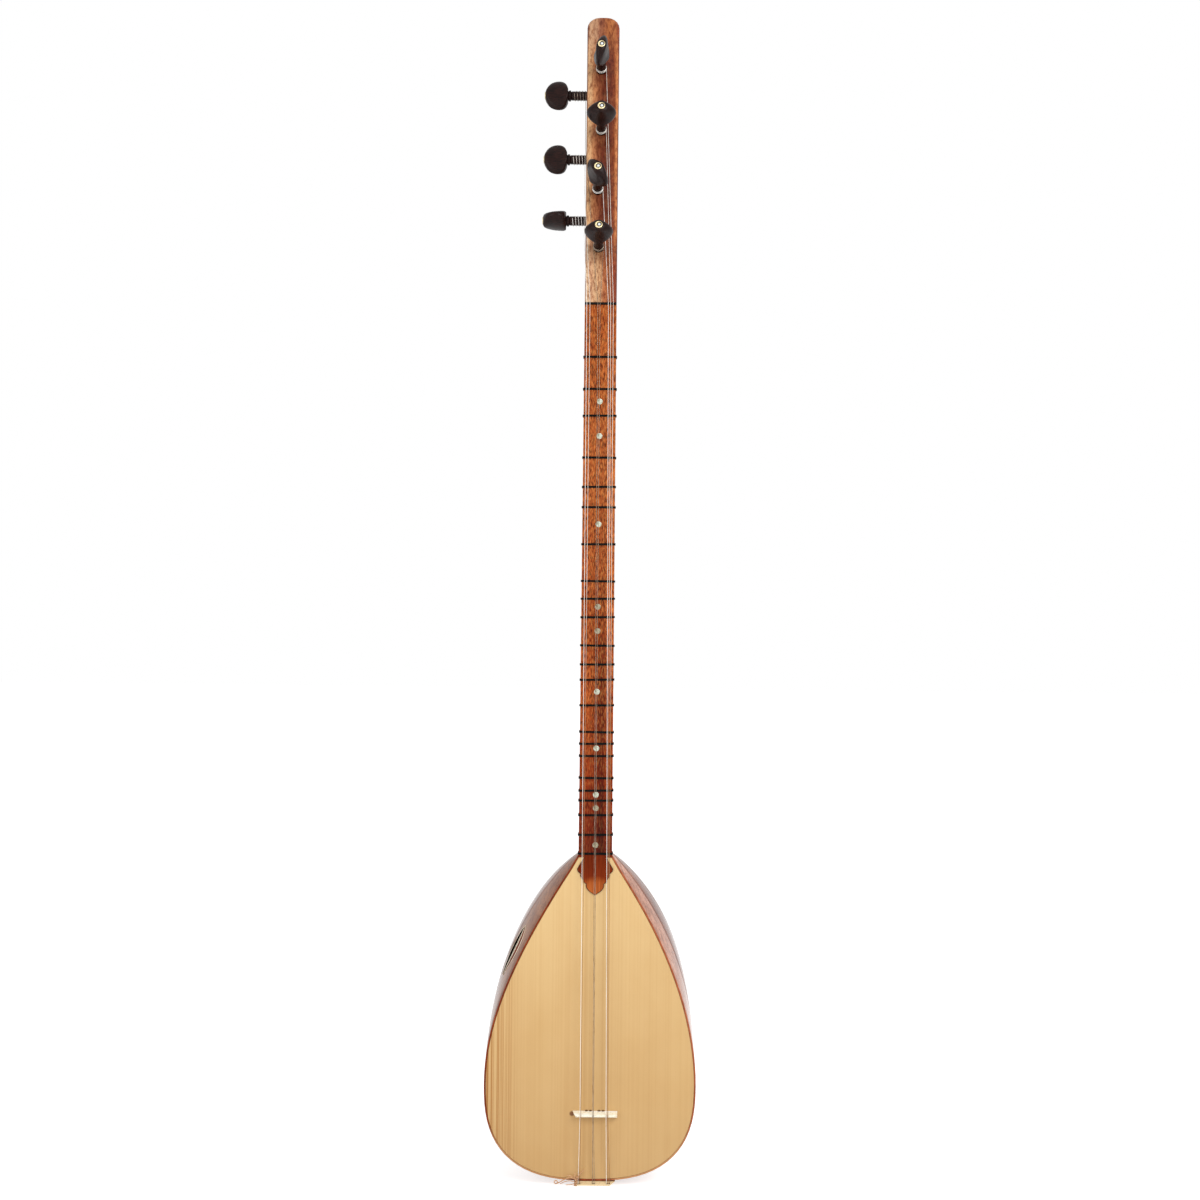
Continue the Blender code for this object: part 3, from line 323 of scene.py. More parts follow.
def sapele():
    """Fingerboard and neck: orange brown with short flecks, redder towards the body."""
    paint = Paint("sapele")
    height, across = paint.axis("Z"), paint.across()
    tone = paint.ramp(height, (0.34, (120, 38, 14)), (0.40, (158, 60, 20)), (0.50, (190, 94, 40)),
                      (0.70, (196, 108, 52)), (0.88, (172, 84, 32)))
    share = paint.calc("MULTIPLY_ADD", across, 30.0, 0.5)
    side = paint.shade(
        tone, 1.0, share, (0.26, (255, 252, 250)), (0.40, (226, 212, 202)), (0.52, (190, 156, 138)),
        (0.60, (166, 128, 108)), (0.70, (168, 130, 110)), (0.80, WHITE))
    tone = paint.blend(paint.ramp(height, (0.50, 1.0), (0.82, 0.0)), tone, side)
    broad = paint.noise((60.0, 60.0, 5.0), 3.0, 0.6)
    tone = paint.shade(tone, 0.9, broad, (0.32, (206, 176, 160)), (0.62, WHITE))
    grain = paint.noise((1300.0, 900.0, 230.0), 2.0, 0.55, (1.0, 2.0, 3.0))
    flecked = paint.ramp(height, (0.34, 0.50), (0.50, 0.85))
    tone = paint.shade(tone, flecked, grain, (0.38, (104, 56, 38)), (0.54, WHITE))
    glints = paint.ramp(paint.noise((900.0, 700.0, 190.0), 2.0, 0.5, (7.0, 2.0, 1.0)), (0.48, 0.0),
                        (0.64, (130, 90, 46)))
    tone = paint.blend(paint.ramp(height, (0.34, 0.25), (0.50, 0.90)), tone, glints, "ADD")
    paint.bump(grain, 0.08)
    return paint.finish(
        tone, grain, 0.36, 0.50, Specular_IOR_Level=0.08, Coat_Weight=0.03, Coat_Roughness=0.2)


def two_tone_head():
    """Head wood: pale on the viewer's left, orange brown on the right, darker and redder above, with
    painted shade, highlights and peg shadows.
    """
    paint = Paint("head_wood")
    wander = paint.calc("MULTIPLY_ADD", paint.noise((20.0, 20.0, 6.0), 2.0), 0.003, -0.0015)
    across = paint.calc("ADD", paint.across(), wander)
    share = paint.calc("MULTIPLY_ADD", across, 1.0 / HEAD_WIDTH, 0.5)
    lower = paint.ramp(
        share, (0.00, (116, 40, 22)), (0.03, (150, 76, 50)), (0.06, (238, 212, 178)),
        (0.12, (228, 190, 152)), (0.22, (208, 160, 122)), (0.32, (214, 172, 130)), (0.48, (208, 158, 114)),
        (0.58, (174, 100, 58)), (0.76, (164, 98, 58)), (0.85, (158, 72, 38)), (0.96, (110, 42, 24)))
    # The middle and upper bands hold painted shade down the middle, near the pegs, and painted highlights
    # towards both edges
    middle = paint.ramp(
        share, (0.00, (108, 34, 18)), (0.05, (214, 168, 124)), (0.12, (212, 166, 120)),
        (0.21, (190, 130, 86)), (0.30, (164, 102, 66)), (0.40, (132, 70, 42)), (0.50, (102, 42, 20)),
        (0.64, (102, 42, 22)), (0.76, (112, 48, 26)), (0.85, (140, 68, 32)), (0.93, (214, 138, 84)),
        (0.98, (106, 34, 18)))
    upper = paint.ramp(share, (0.02, (108, 44, 28)), (0.08, (192, 150, 116)), (0.30, (176, 130, 98)),
                       (0.40, (146, 88, 62)), (0.50, (134, 74, 46)), (0.66, (168, 98, 52)),
                       (0.85, (172, 104, 60)), (0.96, (140, 60, 38)))
    drift = paint.noise((60.0, 60.0, 9.0), 2.0, 0.5, (2.0, 0.0, 0.0))
    height = paint.calc("MULTIPLY_ADD", drift, 0.04, paint.axis("Z"))
    rise = paint.calc("MULTIPLY_ADD", height, 3.3, -3.0)
    tone = paint.blend(paint.ramp(rise, (0.15, 0.0), (0.25, 1.0)), lower, middle)
    tone = paint.blend(paint.ramp(rise, (0.86, 0.0), (0.94, 1.0)), tone, upper)
    # Painted shadows of the front pegs on the head
    for spot, along in FRONT_PEGS:
        painted_shade = paint.spot(spot + 0.001, NUT_Z + along * math.cos(HEAD_ANGLE) - 0.003, 0.012, 0.022)
        tone = paint.blend(paint.calc("MULTIPLY", painted_shade, 0.6), tone, rgb(96, 42, 26))
    grain = paint.noise((420.0, 420.0, 9.0), 3.0, 0.6)
    tone = paint.shade(tone, 0.75, grain, (0.36, (160, 112, 88)), (0.56, WHITE))
    glow = paint.ramp(
        paint.noise((300.0, 300.0, 7.0), 3.0, 0.6, (4.0, 2.0, 1.0)), (0.50, 0.0), (0.66, (84, 58, 34)))
    tone = paint.blend(0.8, tone, glow, "ADD")
    pores = paint.noise((1100.0, 1100.0, 80.0), 2.0)
    tone = paint.shade(tone, 0.5, pores, (0.34, (130, 90, 70)), (0.42, WHITE))
    paint.bump(grain, 0.08)
    return paint.finish(
        tone, grain, 0.34, 0.46, Specular_IOR_Level=0.16, Coat_Weight=0.08, Coat_Roughness=0.16)


def ornament_wood():
    """Mahogany plate, dark red above and orange at its tip."""
    paint = Paint("ornament_wood")
    drift = paint.calc("MULTIPLY", paint.noise((90.0, 30.0, 40.0)), 0.006)
    height = paint.calc("ADD", paint.axis("Z"), drift)
    share = paint.calc("MULTIPLY_ADD", height, 26.0, -7.66)
    bow = paint.calc("MULTIPLY", paint.calc("POWER", paint.across(), 2.0), 800.0)
    share = paint.calc("ADD", share, bow)
    tone = paint.ramp(
        share, (0.02, (196, 106, 50)), (0.32, (182, 94, 42)), (0.50, (132, 48, 16)), (0.90, (120, 42, 12)))
    grain = paint.noise((700.0, 300.0, 26.0), 3.0, 0.6)
    tone = paint.shade(tone, 0.6, grain, (0.36, (160, 118, 96)), (0.56, WHITE))
    paint.bump(grain, 0.10)
    return paint.finish(tone, grain, 0.36, 0.48, Specular_IOR_Level=0.05)


def pale_wood(name, dark, light, stretch=(12.0, 200.0, 500.0)):
    """Pale wood with fine short grain: bridge, tailpiece, lining and blocks."""
    paint = Paint(name)
    grain = paint.noise(stretch, 3.0, 0.6)
    spots = paint.noise((1200.0, 300.0, 1200.0), 2.0, 0.5)
    tone = paint.ramp(grain, (0.34, dark), (0.60, light))
    tone = paint.shade(tone, 0.6, spots, (0.33, (214, 188, 150)), (0.42, WHITE))
    paint.bump(grain, 0.15)
    return paint.finish(tone, spots, 0.42, 0.56)


def lining_wood():
    """Cream rim round the sound hole over an inner wall painted near black as the shade in the hole."""
    paint = Paint("lining_wood")
    grain = paint.noise((500.0, 200.0, 12.0), 3.0, 0.6)
    cream = paint.ramp(grain, (0.34, (212, 190, 156)), (0.60, (240, 226, 198)))
    # Faces turned into the hole get the near black: painted shade inside the sound hole
    depth = paint.ramp(paint.facing(HOLE_FACING), (0.55, 0.0), (0.75, 1.0))
    tone = paint.blend(depth, paint.ramp(grain, (0.34, (10, 7, 6)), (0.60, (24, 16, 13))), cream)
    paint.bump(grain, 0.15)
    return paint.finish(tone, grain, 0.42, 0.56, Specular_IOR_Level=0.2)


def dark_wood(name, dark, light):
    """Peg wood: near black with brown streaks and rubbed, shinier high places."""
    paint = Paint(name)
    grain = paint.noise((900.0, 900.0, 120.0), 3.0, 0.6)
    worn = paint.noise((120.0, 120.0, 120.0), 3.0, 0.55, (4.0, 1.0, 0.0))
    tone = paint.ramp(grain, (0.34, dark), (0.68, light))
    tone = paint.blend(paint.ramp(worn, (0.50, 0.0), (0.80, 0.25)), tone, rgb(70, 38, 30))
    paint.bump(grain, 0.10)
    return paint.finish(
        tone, worn, 0.30, 0.44, top=0.7, Specular_IOR_Level=0.10, Coat_Weight=0.06, Coat_Roughness=0.2)


# Other finishes

def lacquered(name, dark, light, rough, size=180.0, shine=0.15):
    """Smooth finish with soft clouds of two tones."""
    paint = Paint(name)
    cloud = paint.noise((size, size, size * 0.3), 3.0, 0.6)
    tone = paint.ramp(cloud, (0.34, dark), (0.66, light))
    paint.bump(paint.noise((1600.0, 1600.0, 300.0), 2.0), 0.08)
    return paint.finish(tone, cloud, rough * 0.85, rough * 1.2, top=0.7, Specular_IOR_Level=shine)


def binding_wood():
    """Dark red edge of the soundboard, lighter on the viewer's right and pale beside the tailpiece."""
    paint = Paint("binding")
    cloud = paint.noise((180.0, 180.0, 54.0), 3.0, 0.6)
    left = paint.ramp(cloud, (0.34, (102, 38, 14)), (0.66, (142, 62, 26)))
    right = paint.ramp(cloud, (0.34, (140, 70, 42)), (0.66, (182, 102, 64)))
    far = paint.ramp(paint.calc("MULTIPLY_ADD", paint.across(), 5.0, 0.5), (0.40, 0.0), (0.60, 1.0))
    tone = paint.blend(far, left, right)
    low = paint.ramp(paint.axis("Z"), (0.034, 0.75), (0.066, 0.0))
    beside = paint.ramp(paint.calc("ABSOLUTE", paint.across()), (0.018, 0.0), (0.026, 1.0))
    tone = paint.blend(paint.calc("MULTIPLY", low, beside), tone, rgb(202, 154, 106))
    paint.bump(paint.noise((1600.0, 1600.0, 300.0), 2.0), 0.08)
    return paint.finish(tone, cloud, 0.34, 0.48, top=0.7, Specular_IOR_Level=0.10)


def metal(name, dark, light, rough, ridges=0.0, metallic=1.0):
    """Drawn or turned metal; ridges set the turns of a winding."""
    paint = Paint(name)
    cloud = paint.noise((900.0, 900.0, 140.0), 3.0, 0.6)
    tone = paint.ramp(cloud, (0.32, dark), (0.66, light))
    if ridges:
        wave = paint.add("ShaderNodeTexWave", bands_direction="Z", wave_profile="SIN")
        paint.feed(wave.inputs["Vector"], paint.place)
        wave.inputs["Scale"].default_value = ridges
        paint.bump(wave.outputs["Fac"], 0.5, 0.00005)
    else:
        paint.bump(cloud, 0.06)
    return paint.finish(tone, cloud, rough * 0.8, rough * 1.3, top=0.7, Metallic=metallic)


def string_metal(name, upper, lower):
    """Plain steel above that turns to the lower colour towards the body."""
    paint = Paint(name)
    cloud = paint.noise((900.0, 900.0, 30.0), 2.0, 0.6)
    tone = paint.ramp(paint.calc("MULTIPLY_ADD", cloud, 0.1, paint.axis("Z")), (0.50, lower), (0.68, upper))
    tone = paint.shade(tone, 1.0, cloud, (0.30, (226, 222, 216)), (0.60, WHITE))
    paint.bump(cloud, 0.06)
    return paint.finish(tone, cloud, 0.26, 0.40, top=0.7, Metallic=0.25, Specular_IOR_Level=0.4)


def pearl(name, dark, base, light, blush):
    """Shell inlay: drifting tones under a gloss."""
    paint = Paint(name)
    cloud = paint.noise((420.0, 420.0, 420.0), 3.0, 0.6, (2.0, 5.0, 1.0), 1.5)
    tone = paint.ramp(cloud, (0.30, dark), (0.45, base), (0.60, light), (0.75, blush))
    paint.bump(cloud, 0.1)
    return paint.finish(tone, cloud, 0.14, 0.26, top=0.7, Coat_Weight=0.8, Coat_Roughness=0.06)


def thread_paint():
    """Tan twisted thread."""
    paint = Paint("thread")
    twist = paint.noise((2200.0, 900.0, 900.0), 2.0, 0.6)
    tone = paint.ramp(twist, (0.34, (164, 110, 70)), (0.64, (236, 190, 144)))
    paint.bump(twist, 0.3)
    return paint.finish(tone, twist, 0.7, 0.9, top=0.7, Sheen_Weight=0.2)


LOOKS = {
    "spruce": spruce(),
    "brace": pale_wood("brace_wood", (206, 170, 120), (232, 202, 152), (12.0, 400.0, 400.0)),
    "binding": binding_wood(),
    "band": lacquered("hole_band", (84, 26, 8), (126, 50, 16), 0.5, shine=0.05),
    "tail_cap": reddish("tail_cap_wood", (140, 82, 58), (196, 134, 104), (168, 108, 80), (5.0, 1.0, 2.0)),
    "sapele": sapele(),
    "head": two_tone_head(),
    "ornament": ornament_wood(),
    "ornament_line": lacquered("ornament_line", (40, 16, 10), (72, 28, 16), 0.4),
    "maple": pale_wood("maple", (254, 246, 216), (255, 255, 246)),
    "tailpiece": pale_wood("tailpiece_wood", (206, 176, 128), (232, 208, 164)),
    "lining": lining_wood(),
    "rim": pale_wood("rim_wood", (216, 198, 172), (242, 228, 204), (500.0, 200.0, 12.0)),
    "block": pale_wood("block_wood", (190, 150, 104), (220, 184, 136), (300.0, 300.0, 12.0)),
    "peg": dark_wood("peg_wood", (15, 6, 5), (42, 21, 17)),
    "nut": lacquered("nut_black", (12, 10, 10), (30, 24, 22), 0.34, 400.0, 0.08),
    "fret": lacquered("fret_line", (6, 7, 7), (20, 24, 23), 0.34, 700.0, 0.08),
    "steel": string_metal("steel", (250, 248, 244), (255, 254, 250)),
    "bronze": string_metal("bronze", (236, 230, 222), (164, 118, 78)),
    "copper": metal("wound_copper", (110, 96, 84), (168, 152, 136), 0.30, 1400.0),
    "brass": metal("brass", (214, 186, 124), (250, 238, 196), 0.28, metallic=0.6),
    "pearl": pearl("pearl", (118, 120, 92), (178, 184, 158), (226, 232, 214), (190, 168, 150)),
    "pearl_dull": pearl("pearl_dull", (96, 88, 60), (136, 124, 94), (176, 168, 138), (150, 128, 104)),
    "pearl_blue": pearl("pearl_blue", (168, 178, 188), (206, 216, 224), (238, 242, 244), (212, 206, 214)),
    "thread": thread_paint(),
}
for number in range(1, 13):
    deep = number % 3 * 8
    LOOKS[f"stave_{number:02d}"] = reddish(
        f"stave_wood_{number:02d}", (110 - deep, 60, 40), (180 - deep, 118 - deep / 2, 80),
        (144 - deep, 82, 54), (3.0 * number, 1.7 * number, 0.9 * number))
LOOKS["stave_00"] = reddish(
    "stave_wood_left", (112, 70, 50), (172, 124, 92), (142, 94, 68), (1.0, 6.0, 3.0), coat=0.5)
# The last stave, on the viewer's right, is paler: painted light along the bowl's right edge
LOOKS["stave_13"] = reddish(
    "stave_wood_rim_painted_light", (180, 124, 100), (234, 188, 164), (214, 160, 136), (9.0, 4.0, 2.0))


def dress(thing, look):
    """Replace a piece's materials by one of the looks."""
    thing.data.materials.clear()
    thing.data.materials.append(LOOKS[look])


# Making and placing pieces

def place(thing, body, look, *stands_for, matrix=None):
    """Put a piece in the solids' frame, give it its look and let it ride."""
    SCENE.collection.objects.link(thing)
    thing.matrix_world = Matrix.Translation(DATUM) @ (matrix or Matrix.Identity(4))
    dress(thing, look)
    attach(thing, body)
    if stands_for:
        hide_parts(*stands_for)
    return thing


def solid(name, work, angle=40.0):
    """Object from a bmesh, smooth where its faces turn by less than the angle."""
    bmesh.ops.recalc_face_normals(work, faces=work.faces)
    data = bpy.data.meshes.new(name)
    work.to_mesh(data)
    work.free()
    data.shade_smooth()
    data.set_sharp_from_angle(angle=math.radians(angle))
    return bpy.data.objects.new(name, data)


def loft(name, rings, capped=True, around=False, angle=40.0):
    """Skin between rings of equal count; around joins the last ring to the first."""
    work = bmesh.new()
    rows = [[work.verts.new(point) for point in ring] for ring in rings]
    pairs = list(zip(rows, rows[1:]))
    if around:
        pairs.append((rows[-1], rows[0]))
    for low, high in pairs:
        for index in range(len(low)):
            following = (index + 1) % len(low)
            work.faces.new((low[index], low[following], high[following], high[index]))
    if capped and not around:
        work.faces.new(rows[0])
        work.faces.new(rows[-1][::-1])
    return solid(name, work, angle)


def round_ring(radius, height, middle=(0.0, 0.0, 0.0)):
    """Circle about +Z at a height above its middle."""
    angles = [2.0 * math.pi * side / ROUND_SIDES for side in range(ROUND_SIDES)]
    return [Vector(middle) + Vector((radius * math.cos(angle), radius * math.sin(angle), height))
            for angle in angles]


def lathe(name, profile):
    """Turned form about +Z from (radius, height) pairs; a radius of 0 closes it."""
    work = bmesh.new()
    rings = []
    for radius, height in profile:
        ring = round_ring(radius, height) if radius else [(0.0, 0.0, height)]
        rings.append([work.verts.new(point) for point in ring])
    for low, high in zip(rings, rings[1:]):
        for side in range(ROUND_SIDES):
            following = (side + 1) % ROUND_SIDES
            corners = [low[side % len(low)], low[following % len(low)],
                       high[following % len(high)], high[side % len(high)]]
            kept = [corner for index, corner in enumerate(corners) if corner not in corners[:index]]
            work.faces.new(kept)
    return solid(name, work, TURNED_ANGLE)


def tubes(name, routes, radius, closed=()):
    """One curve of several round strands; closed lists the strands that are rings."""
    data = bpy.data.curves.new(name, "CURVE")
    data.dimensions = "3D"
    data.bevel_depth = radius
    data.bevel_resolution = 3
    data.use_fill_caps = True
    for number, route in enumerate(routes):
        spline = data.splines.new("POLY")
        spline.points.add(len(route) - 1)
        for point, spot in zip(spline.points, route):
            point.co = (*spot, 1.0)
        spline.use_cyclic_u = number in closed
        spline.use_smooth = True
    return bpy.data.objects.new(name, data)


def mix(start, end, share):
    """Value at a share of the straight way from start to end."""
    return start + (end - start) * share


def bend(before, start, end, after, share):
    """Value on the smooth curve from start to end, led by those before and after."""
    return 0.5 * (2 * start + (end - before) * share
                  + (2 * before - 5 * start + 4 * end - after) * share * share
                  + (3 * start - before - 3 * end + after) * share ** 3)


def smooth_route(points):
    """Route through the points, rounded between them."""
    points = [Vector(point) for point in points]
    padded = [points[0] * 2 - points[1]] + points + [points[-1] * 2 - points[-2]]
    route = [bend(*four, step / ROUTE_STEPS) for four in zip(padded, padded[1:], padded[2:], padded[3:])
             for step in range(ROUTE_STEPS)]
    return route + [points[-1]]


def smooth_rows(rows):
    """Rows of numbers with smooth rows put between them."""
    padded = [rows[0], *rows, rows[-1]]
    made = [[bend(*numbers, step / ROW_STEPS) for numbers in zip(*four)]
            for four in zip(padded, padded[1:], padded[2:], padded[3:]) for step in range(ROW_STEPS)]
    return made + [rows[-1]]


# Bowl form, as in the solids

def body_middle(height):
    """Where the middle of the body lies: it leans to the left lower down."""
    share = min(max((LEAN_HIGH_Z - height) / (LEAN_HIGH_Z - LEAN_LOW_Z), 0.0), 1.0)
    return -BODY_LEAN * share * share * (3.0 - 2.0 * share)


def bezier_point(share, anchors):
    """Point at a share of a cubic curve with four anchors."""
    rest = 1.0 - share
    weights = (rest ** 3, 3 * rest ** 2 * share, 3 * rest * share ** 2, share ** 3)
    return [sum(weight * anchor[axis] for weight, anchor in zip(weights, anchors)) for axis in (0, 1)]


def bezier_value(height, anchors):
    """First coordinate of the curve where its second one is the height."""
    low, high = 0.0, 1.0
    for _ in range(40):
        middle = (low + high) / 2
        if bezier_point(middle, anchors)[1] < height:
            low = middle
        else:
            high = middle
    return bezier_point(low, anchors)[0]


def rounded_tail(height, belly, full, roundness):
    """Size from its full value at the belly down to 0 at the tail."""
    share = min(max((belly - height) / (belly - TAIL_Z), 0.0), 1.0)
    return full * (1.0 - share ** roundness) ** (1.0 / roundness)


def board_half(height):
    """Half the soundboard's width at a height."""
    if height <= BELLY_Z:
        return rounded_tail(height, BELLY_Z, BOARD_HALF, FRONT_ROUNDNESS)
    return bezier_value(height, BOARD_ANCHORS)


def bowl_section(height, inset):
    """Board half, flank half and depth at a height, drawn in by inset."""
    half = board_half(height)
    flank, depth = half, rounded_tail(height, DEPTH_BELLY_Z, BOWL_DEPTH, BACK_ROUNDNESS)
    if height > BELLY_Z:
        flank = max(half, bezier_value(height, FLANK_ANCHORS))
    if height > DEPTH_BELLY_Z:
        depth = bezier_value(height, DEPTH_ANCHORS)
    return half - inset, flank - inset, depth - inset


def round_bowl(section, height, share):
    """Point of a bowl section: share 0 is the left rim and 1 the right rim."""
    half, flank, depth = section
    lift = math.acos(min(half / flank, 1.0))
    reach = depth / (1.0 + math.sin(lift))
    angle = mix(-lift, math.pi + lift, share)
    return Vector((body_middle(height) - flank * math.cos(angle),
                   RIM_Y + reach * (math.sin(lift) + math.sin(angle)), height))


def bowl_point(height, share):
    """Point on the outside of the bowl."""
    return round_bowl(bowl_section(height, 0.0), height, share)


def bowl_girth(height):
    """Length round the outside of the bowl from rim to rim."""
    section = bowl_section(height, 0.0)
    points = [round_bowl(section, height, step / GIRTH_STEPS) for step in range(GIRTH_STEPS + 1)]
    return sum((after - before).length for before, after in zip(points, points[1:]))


def make_staves():
    """Fourteen bent staves with softened edges; the first holds the sound hole."""
    heights = [mix(STAVE_LOW_Z, TOP_Z - SEAT_GAP, (1.0 - math.cos(math.pi * step / STAVE_STEPS)) / 2)
               for step in range(STAVE_STEPS + 1)]
    outer = {height: bowl_section(height, 0.0) for height in heights}
    eased = {height: bowl_section(height, EDGE_DROP) for height in heights}
    inner = {height: bowl_section(height, STAVE_WALL) for height in heights}
    girths = {height: bowl_girth(height) for height in heights}
    for number, (start, end) in enumerate(zip(STAVE_EDGES, STAVE_EDGES[1:])):
        rings = []
        for height in heights:
            low = start + (JOINT_GAP / 2 / girths[height] if start > 0.0 else 0.0)
            high = end - (JOINT_GAP / 2 / girths[height] if end < 1.0 else 0.0)
            ease = min(EDGE_WIDTH / girths[height], (high - low) / 4)
            shares = [mix(low + ease, high - ease, step / 6) for step in range(7)]
            ring = [round_bowl(eased[height], height, low)]
            ring += [round_bowl(outer[height], height, share) for share in shares]
            ring += [round_bowl(eased[height], height, high)]
            ring += [round_bowl(inner[height], height, mix(high, low, step / 4)) for step in range(5)]
            rings.append(ring)
        stave = loft(f"bowl_stave_look_{number + 1:02d}", rings, angle=30.0)
        covered = {int(mix(start, end, share) * SOLID_STAVES) for share in (0.01, 0.99)}
        solids = [f"bowl_stave_{index + 1:02d}" for index in sorted(covered)]
        place(stave, "instrument", f"stave_{number:02d}", *solids)
        if number == 0:
            cut_hole(stave)


def hole_ring(lift, near=0.0, far=0.0, longer=0.0):
    """Leaf round the sound hole; near and far widen it towards and away from the board."""
    ring = []
    for step in range(2 * HOLE_STEPS):
        turn = step / HOLE_STEPS
        along = math.cos(math.pi * turn)
        height = HOLE_Z + (HOLE_LENGTH / 2 + longer) * along
        half = HOLE_WIDTH / 2 + far if turn < 1.0 else -HOLE_WIDTH / 2 - near
        across = half * (1.0 - along * along) ** HOLE_FULLNESS
        share = HOLE_SHARE + across / bowl_girth(height)
        up = bowl_point(height + SLOPE_STEP, share) - bowl_point(height - SLOPE_STEP, share)
        round_about = bowl_point(height, share + SLOPE_STEP) - bowl_point(height, share - SLOPE_STEP)
        ring.append(bowl_point(height, share) + up.cross(round_about).normalized() * lift)
    return ring


def cut_hole(stave):
    """Cut the leaf-shaped hole and keep the cut mesh."""
    cutter = loft("hole_cutter", [hole_ring(-HOLE_CUT), hole_ring(HOLE_CUT)])
    SCENE.collection.objects.link(cutter)
    cutter.matrix_world = stave.matrix_world.copy()
    bore = stave.modifiers.new("hole", "BOOLEAN")
    bore.operation = "DIFFERENCE"
    bore.object = cutter
    bpy.context.view_layer.update()
    graph = bpy.context.evaluated_depsgraph_get()
    shape = bpy.data.meshes.new_from_object(stave.evaluated_get(graph))
    stave.modifiers.clear()
    stave.data = shape
    bpy.data.objects.remove(cutter)


def make_hole_bands():
    """Thin inlaid bands that follow the leaf."""
    bands = (("sound_hole_cream", "rim"), ("sound_hole_band", "band"), ("sound_hole_rim", "rim"))
    for (name, look), inner, outer in zip(bands, BAND_EDGES, BAND_EDGES[1:]):
        rings = [hole_ring(-BAND_SINK, *inner), hole_ring(BAND_STAND, *inner),
                 hole_ring(BAND_STAND, *outer), hole_ring(-BAND_SINK, *outer)]
        place(loft(name, rings, around=True), "instrument", look)


# Neck and fingerboard

def neck_ring(height, front_y, grow=0.0):
    """Half round section of the neck, open in front and grown by a distance."""
    share = (NUT_Z - height) / (NUT_Z - TOP_Z)
    half = mix(NECK_NUT, NECK_BODY, share) / 2 + grow
    depth = mix(DEPTH_NUT, HEEL_DEPTH, share) - BOARD_RISE
    straight = depth * NECK_FLAT_SIDE
    ring = [Vector((-half, front_y, height))]
    for step in range(NECK_STEPS + 1):
        angle = math.pi * step / NECK_STEPS
        back = straight + (depth + grow - straight) * math.sin(angle) ** NECK_FULLNESS
        ring.append(Vector((-half * math.cos(angle), back, height)))
    ring.append(Vector((half, front_y, height)))
    return ring


def make_neck():
    """Neck behind the fingerboard, from the body to the nut."""
    front = FINGERBOARD_THICKNESS - BOARD_RISE + SEAT_GAP
    rings = [neck_ring(mix(TOP_Z, NUT_Z - SEAT_GAP, step / 24), front) for step in range(25)]
    place(loft("neck_look", rings, angle=45.0), "instrument", "sapele", "neck")


def fret_loop(height, rise, tilt):
    """One turn of fret line round neck and fingerboard, with its front corners rounded."""
    away = SEAT_GAP + STRAND
    ring = neck_ring(height, 0.0, away)
    side = ring[1:-1]
    half = side[-1].x - away
    front = []
    for edge, start in ((half, 0.0), (-half, 90.0)):
        for angle in [math.radians(start + 22.5 * step) for step in range(5)]:
            front.append(Vector((
                edge + away * math.cos(angle), -BOARD_RISE - away * math.sin(angle), height)))
    route = side + front
    lean = math.tan(math.radians(tilt))
    return [point + Vector((0.0, 0.0, rise + point.x * lean)) for point in route]


def fret_knot(loop):
    """Three turns of line wound on a loop, behind the neck on the viewer's left."""
    spot = loop[KNOT_POINT]
    along = (loop[KNOT_POINT + 2] - loop[KNOT_POINT - 2]).normalized()
    out = Vector((along.y, -along.x, 0.0)).normalized()
    if out.dot(Vector((spot.x, spot.y - 0.01, 0.0))) < 0.0:
        out = -out
    coil = []
    steps = 3 * TURN_STEPS
    for step in range(steps + 1):
        angle = 2.0 * math.pi * step / TURN_STEPS
        coil.append(spot + along * mix(-KNOT_HALF, KNOT_HALF, step / steps)
                    + out * (KNOT_STAND + KNOT_DEPTH * math.cos(angle))
                    + Vector((0.0, 0.0, KNOT_HEIGHT * math.sin(angle))))
    return coil


def make_frets():
    """Tied frets, each of three turns of line and a knot."""
    for number, (cents, tilt) in enumerate(zip(FRET_CENTS, FRET_TILTS), start=1):
        height = BRIDGE_Z + SCALE_LENGTH * 2.0 ** (-cents / 1200.0)
        loops = [fret_loop(height, rise, tilt) for rise in (0.0, -2.0 * STRAND, 2.0 * STRAND)]
        fret = tubes(f"fret_line_{number:02d}", loops + [fret_knot(loops[0])], STRAND, closed=(0, 1, 2))
        place(fret, f"fret_{number:02d}", "fret", f"fret_{number:02d}")


def make_dots():
    """Inlaid dots, a tenth of a millimetre proud of the fingerboard."""
    for number, height in enumerate(DOT_HEIGHTS, start=1):
        dot = lathe(f"fingerboard_dot_{number:02d}", DOT_PROFILE)
        turn = Matrix.Translation((0.0, -BOARD_RISE, height)) @ Matrix.Rotation(math.radians(90.0), 4, "X")
        place(dot, "instrument", "pearl_dull" if number in DULL_DOTS else "pearl", matrix=turn)


def make_nut():
    """Nut across the neck, with rounded edges and ends."""
    low, high = NUT_BOX
    middle, half = (low + high) / 2 - DATUM, (high - low) / 2
    rings = []
    for share, grow in ((-1.0, 0.75), (-0.97, 1.0), (0.97, 1.0), (1.0, 0.75)):
        rings.append([Vector((middle.x + share * half.x, middle.y + point.x, middle.z + point.y))
                      for point in superellipse(0.0, half.y * grow, NUT_HALF * grow, 3.0)])
    place(loft("nut_look", rings), "instrument", "nut", "nut")


def make_ornament_line():
    """Dark line round the edge of the ornament."""
    tip = TOP_Z - ORNAMENT_LENGTH
    right = [(ORNAMENT_NECK_HALF, TOP_Z - ORNAMENT_TOP)]
    right += [(across, tip + above) for across, above in ORNAMENT_EDGE]
    outline = right + [(0.0, tip)] + [(-across, height) for across, height in right[::-1]]
    route = [Vector((across, LINE_Y, height)) for across, height in outline]
    place(tubes("ornament_line", [route], LINE_RADIUS), "instrument", "ornament_line")


# Pegs

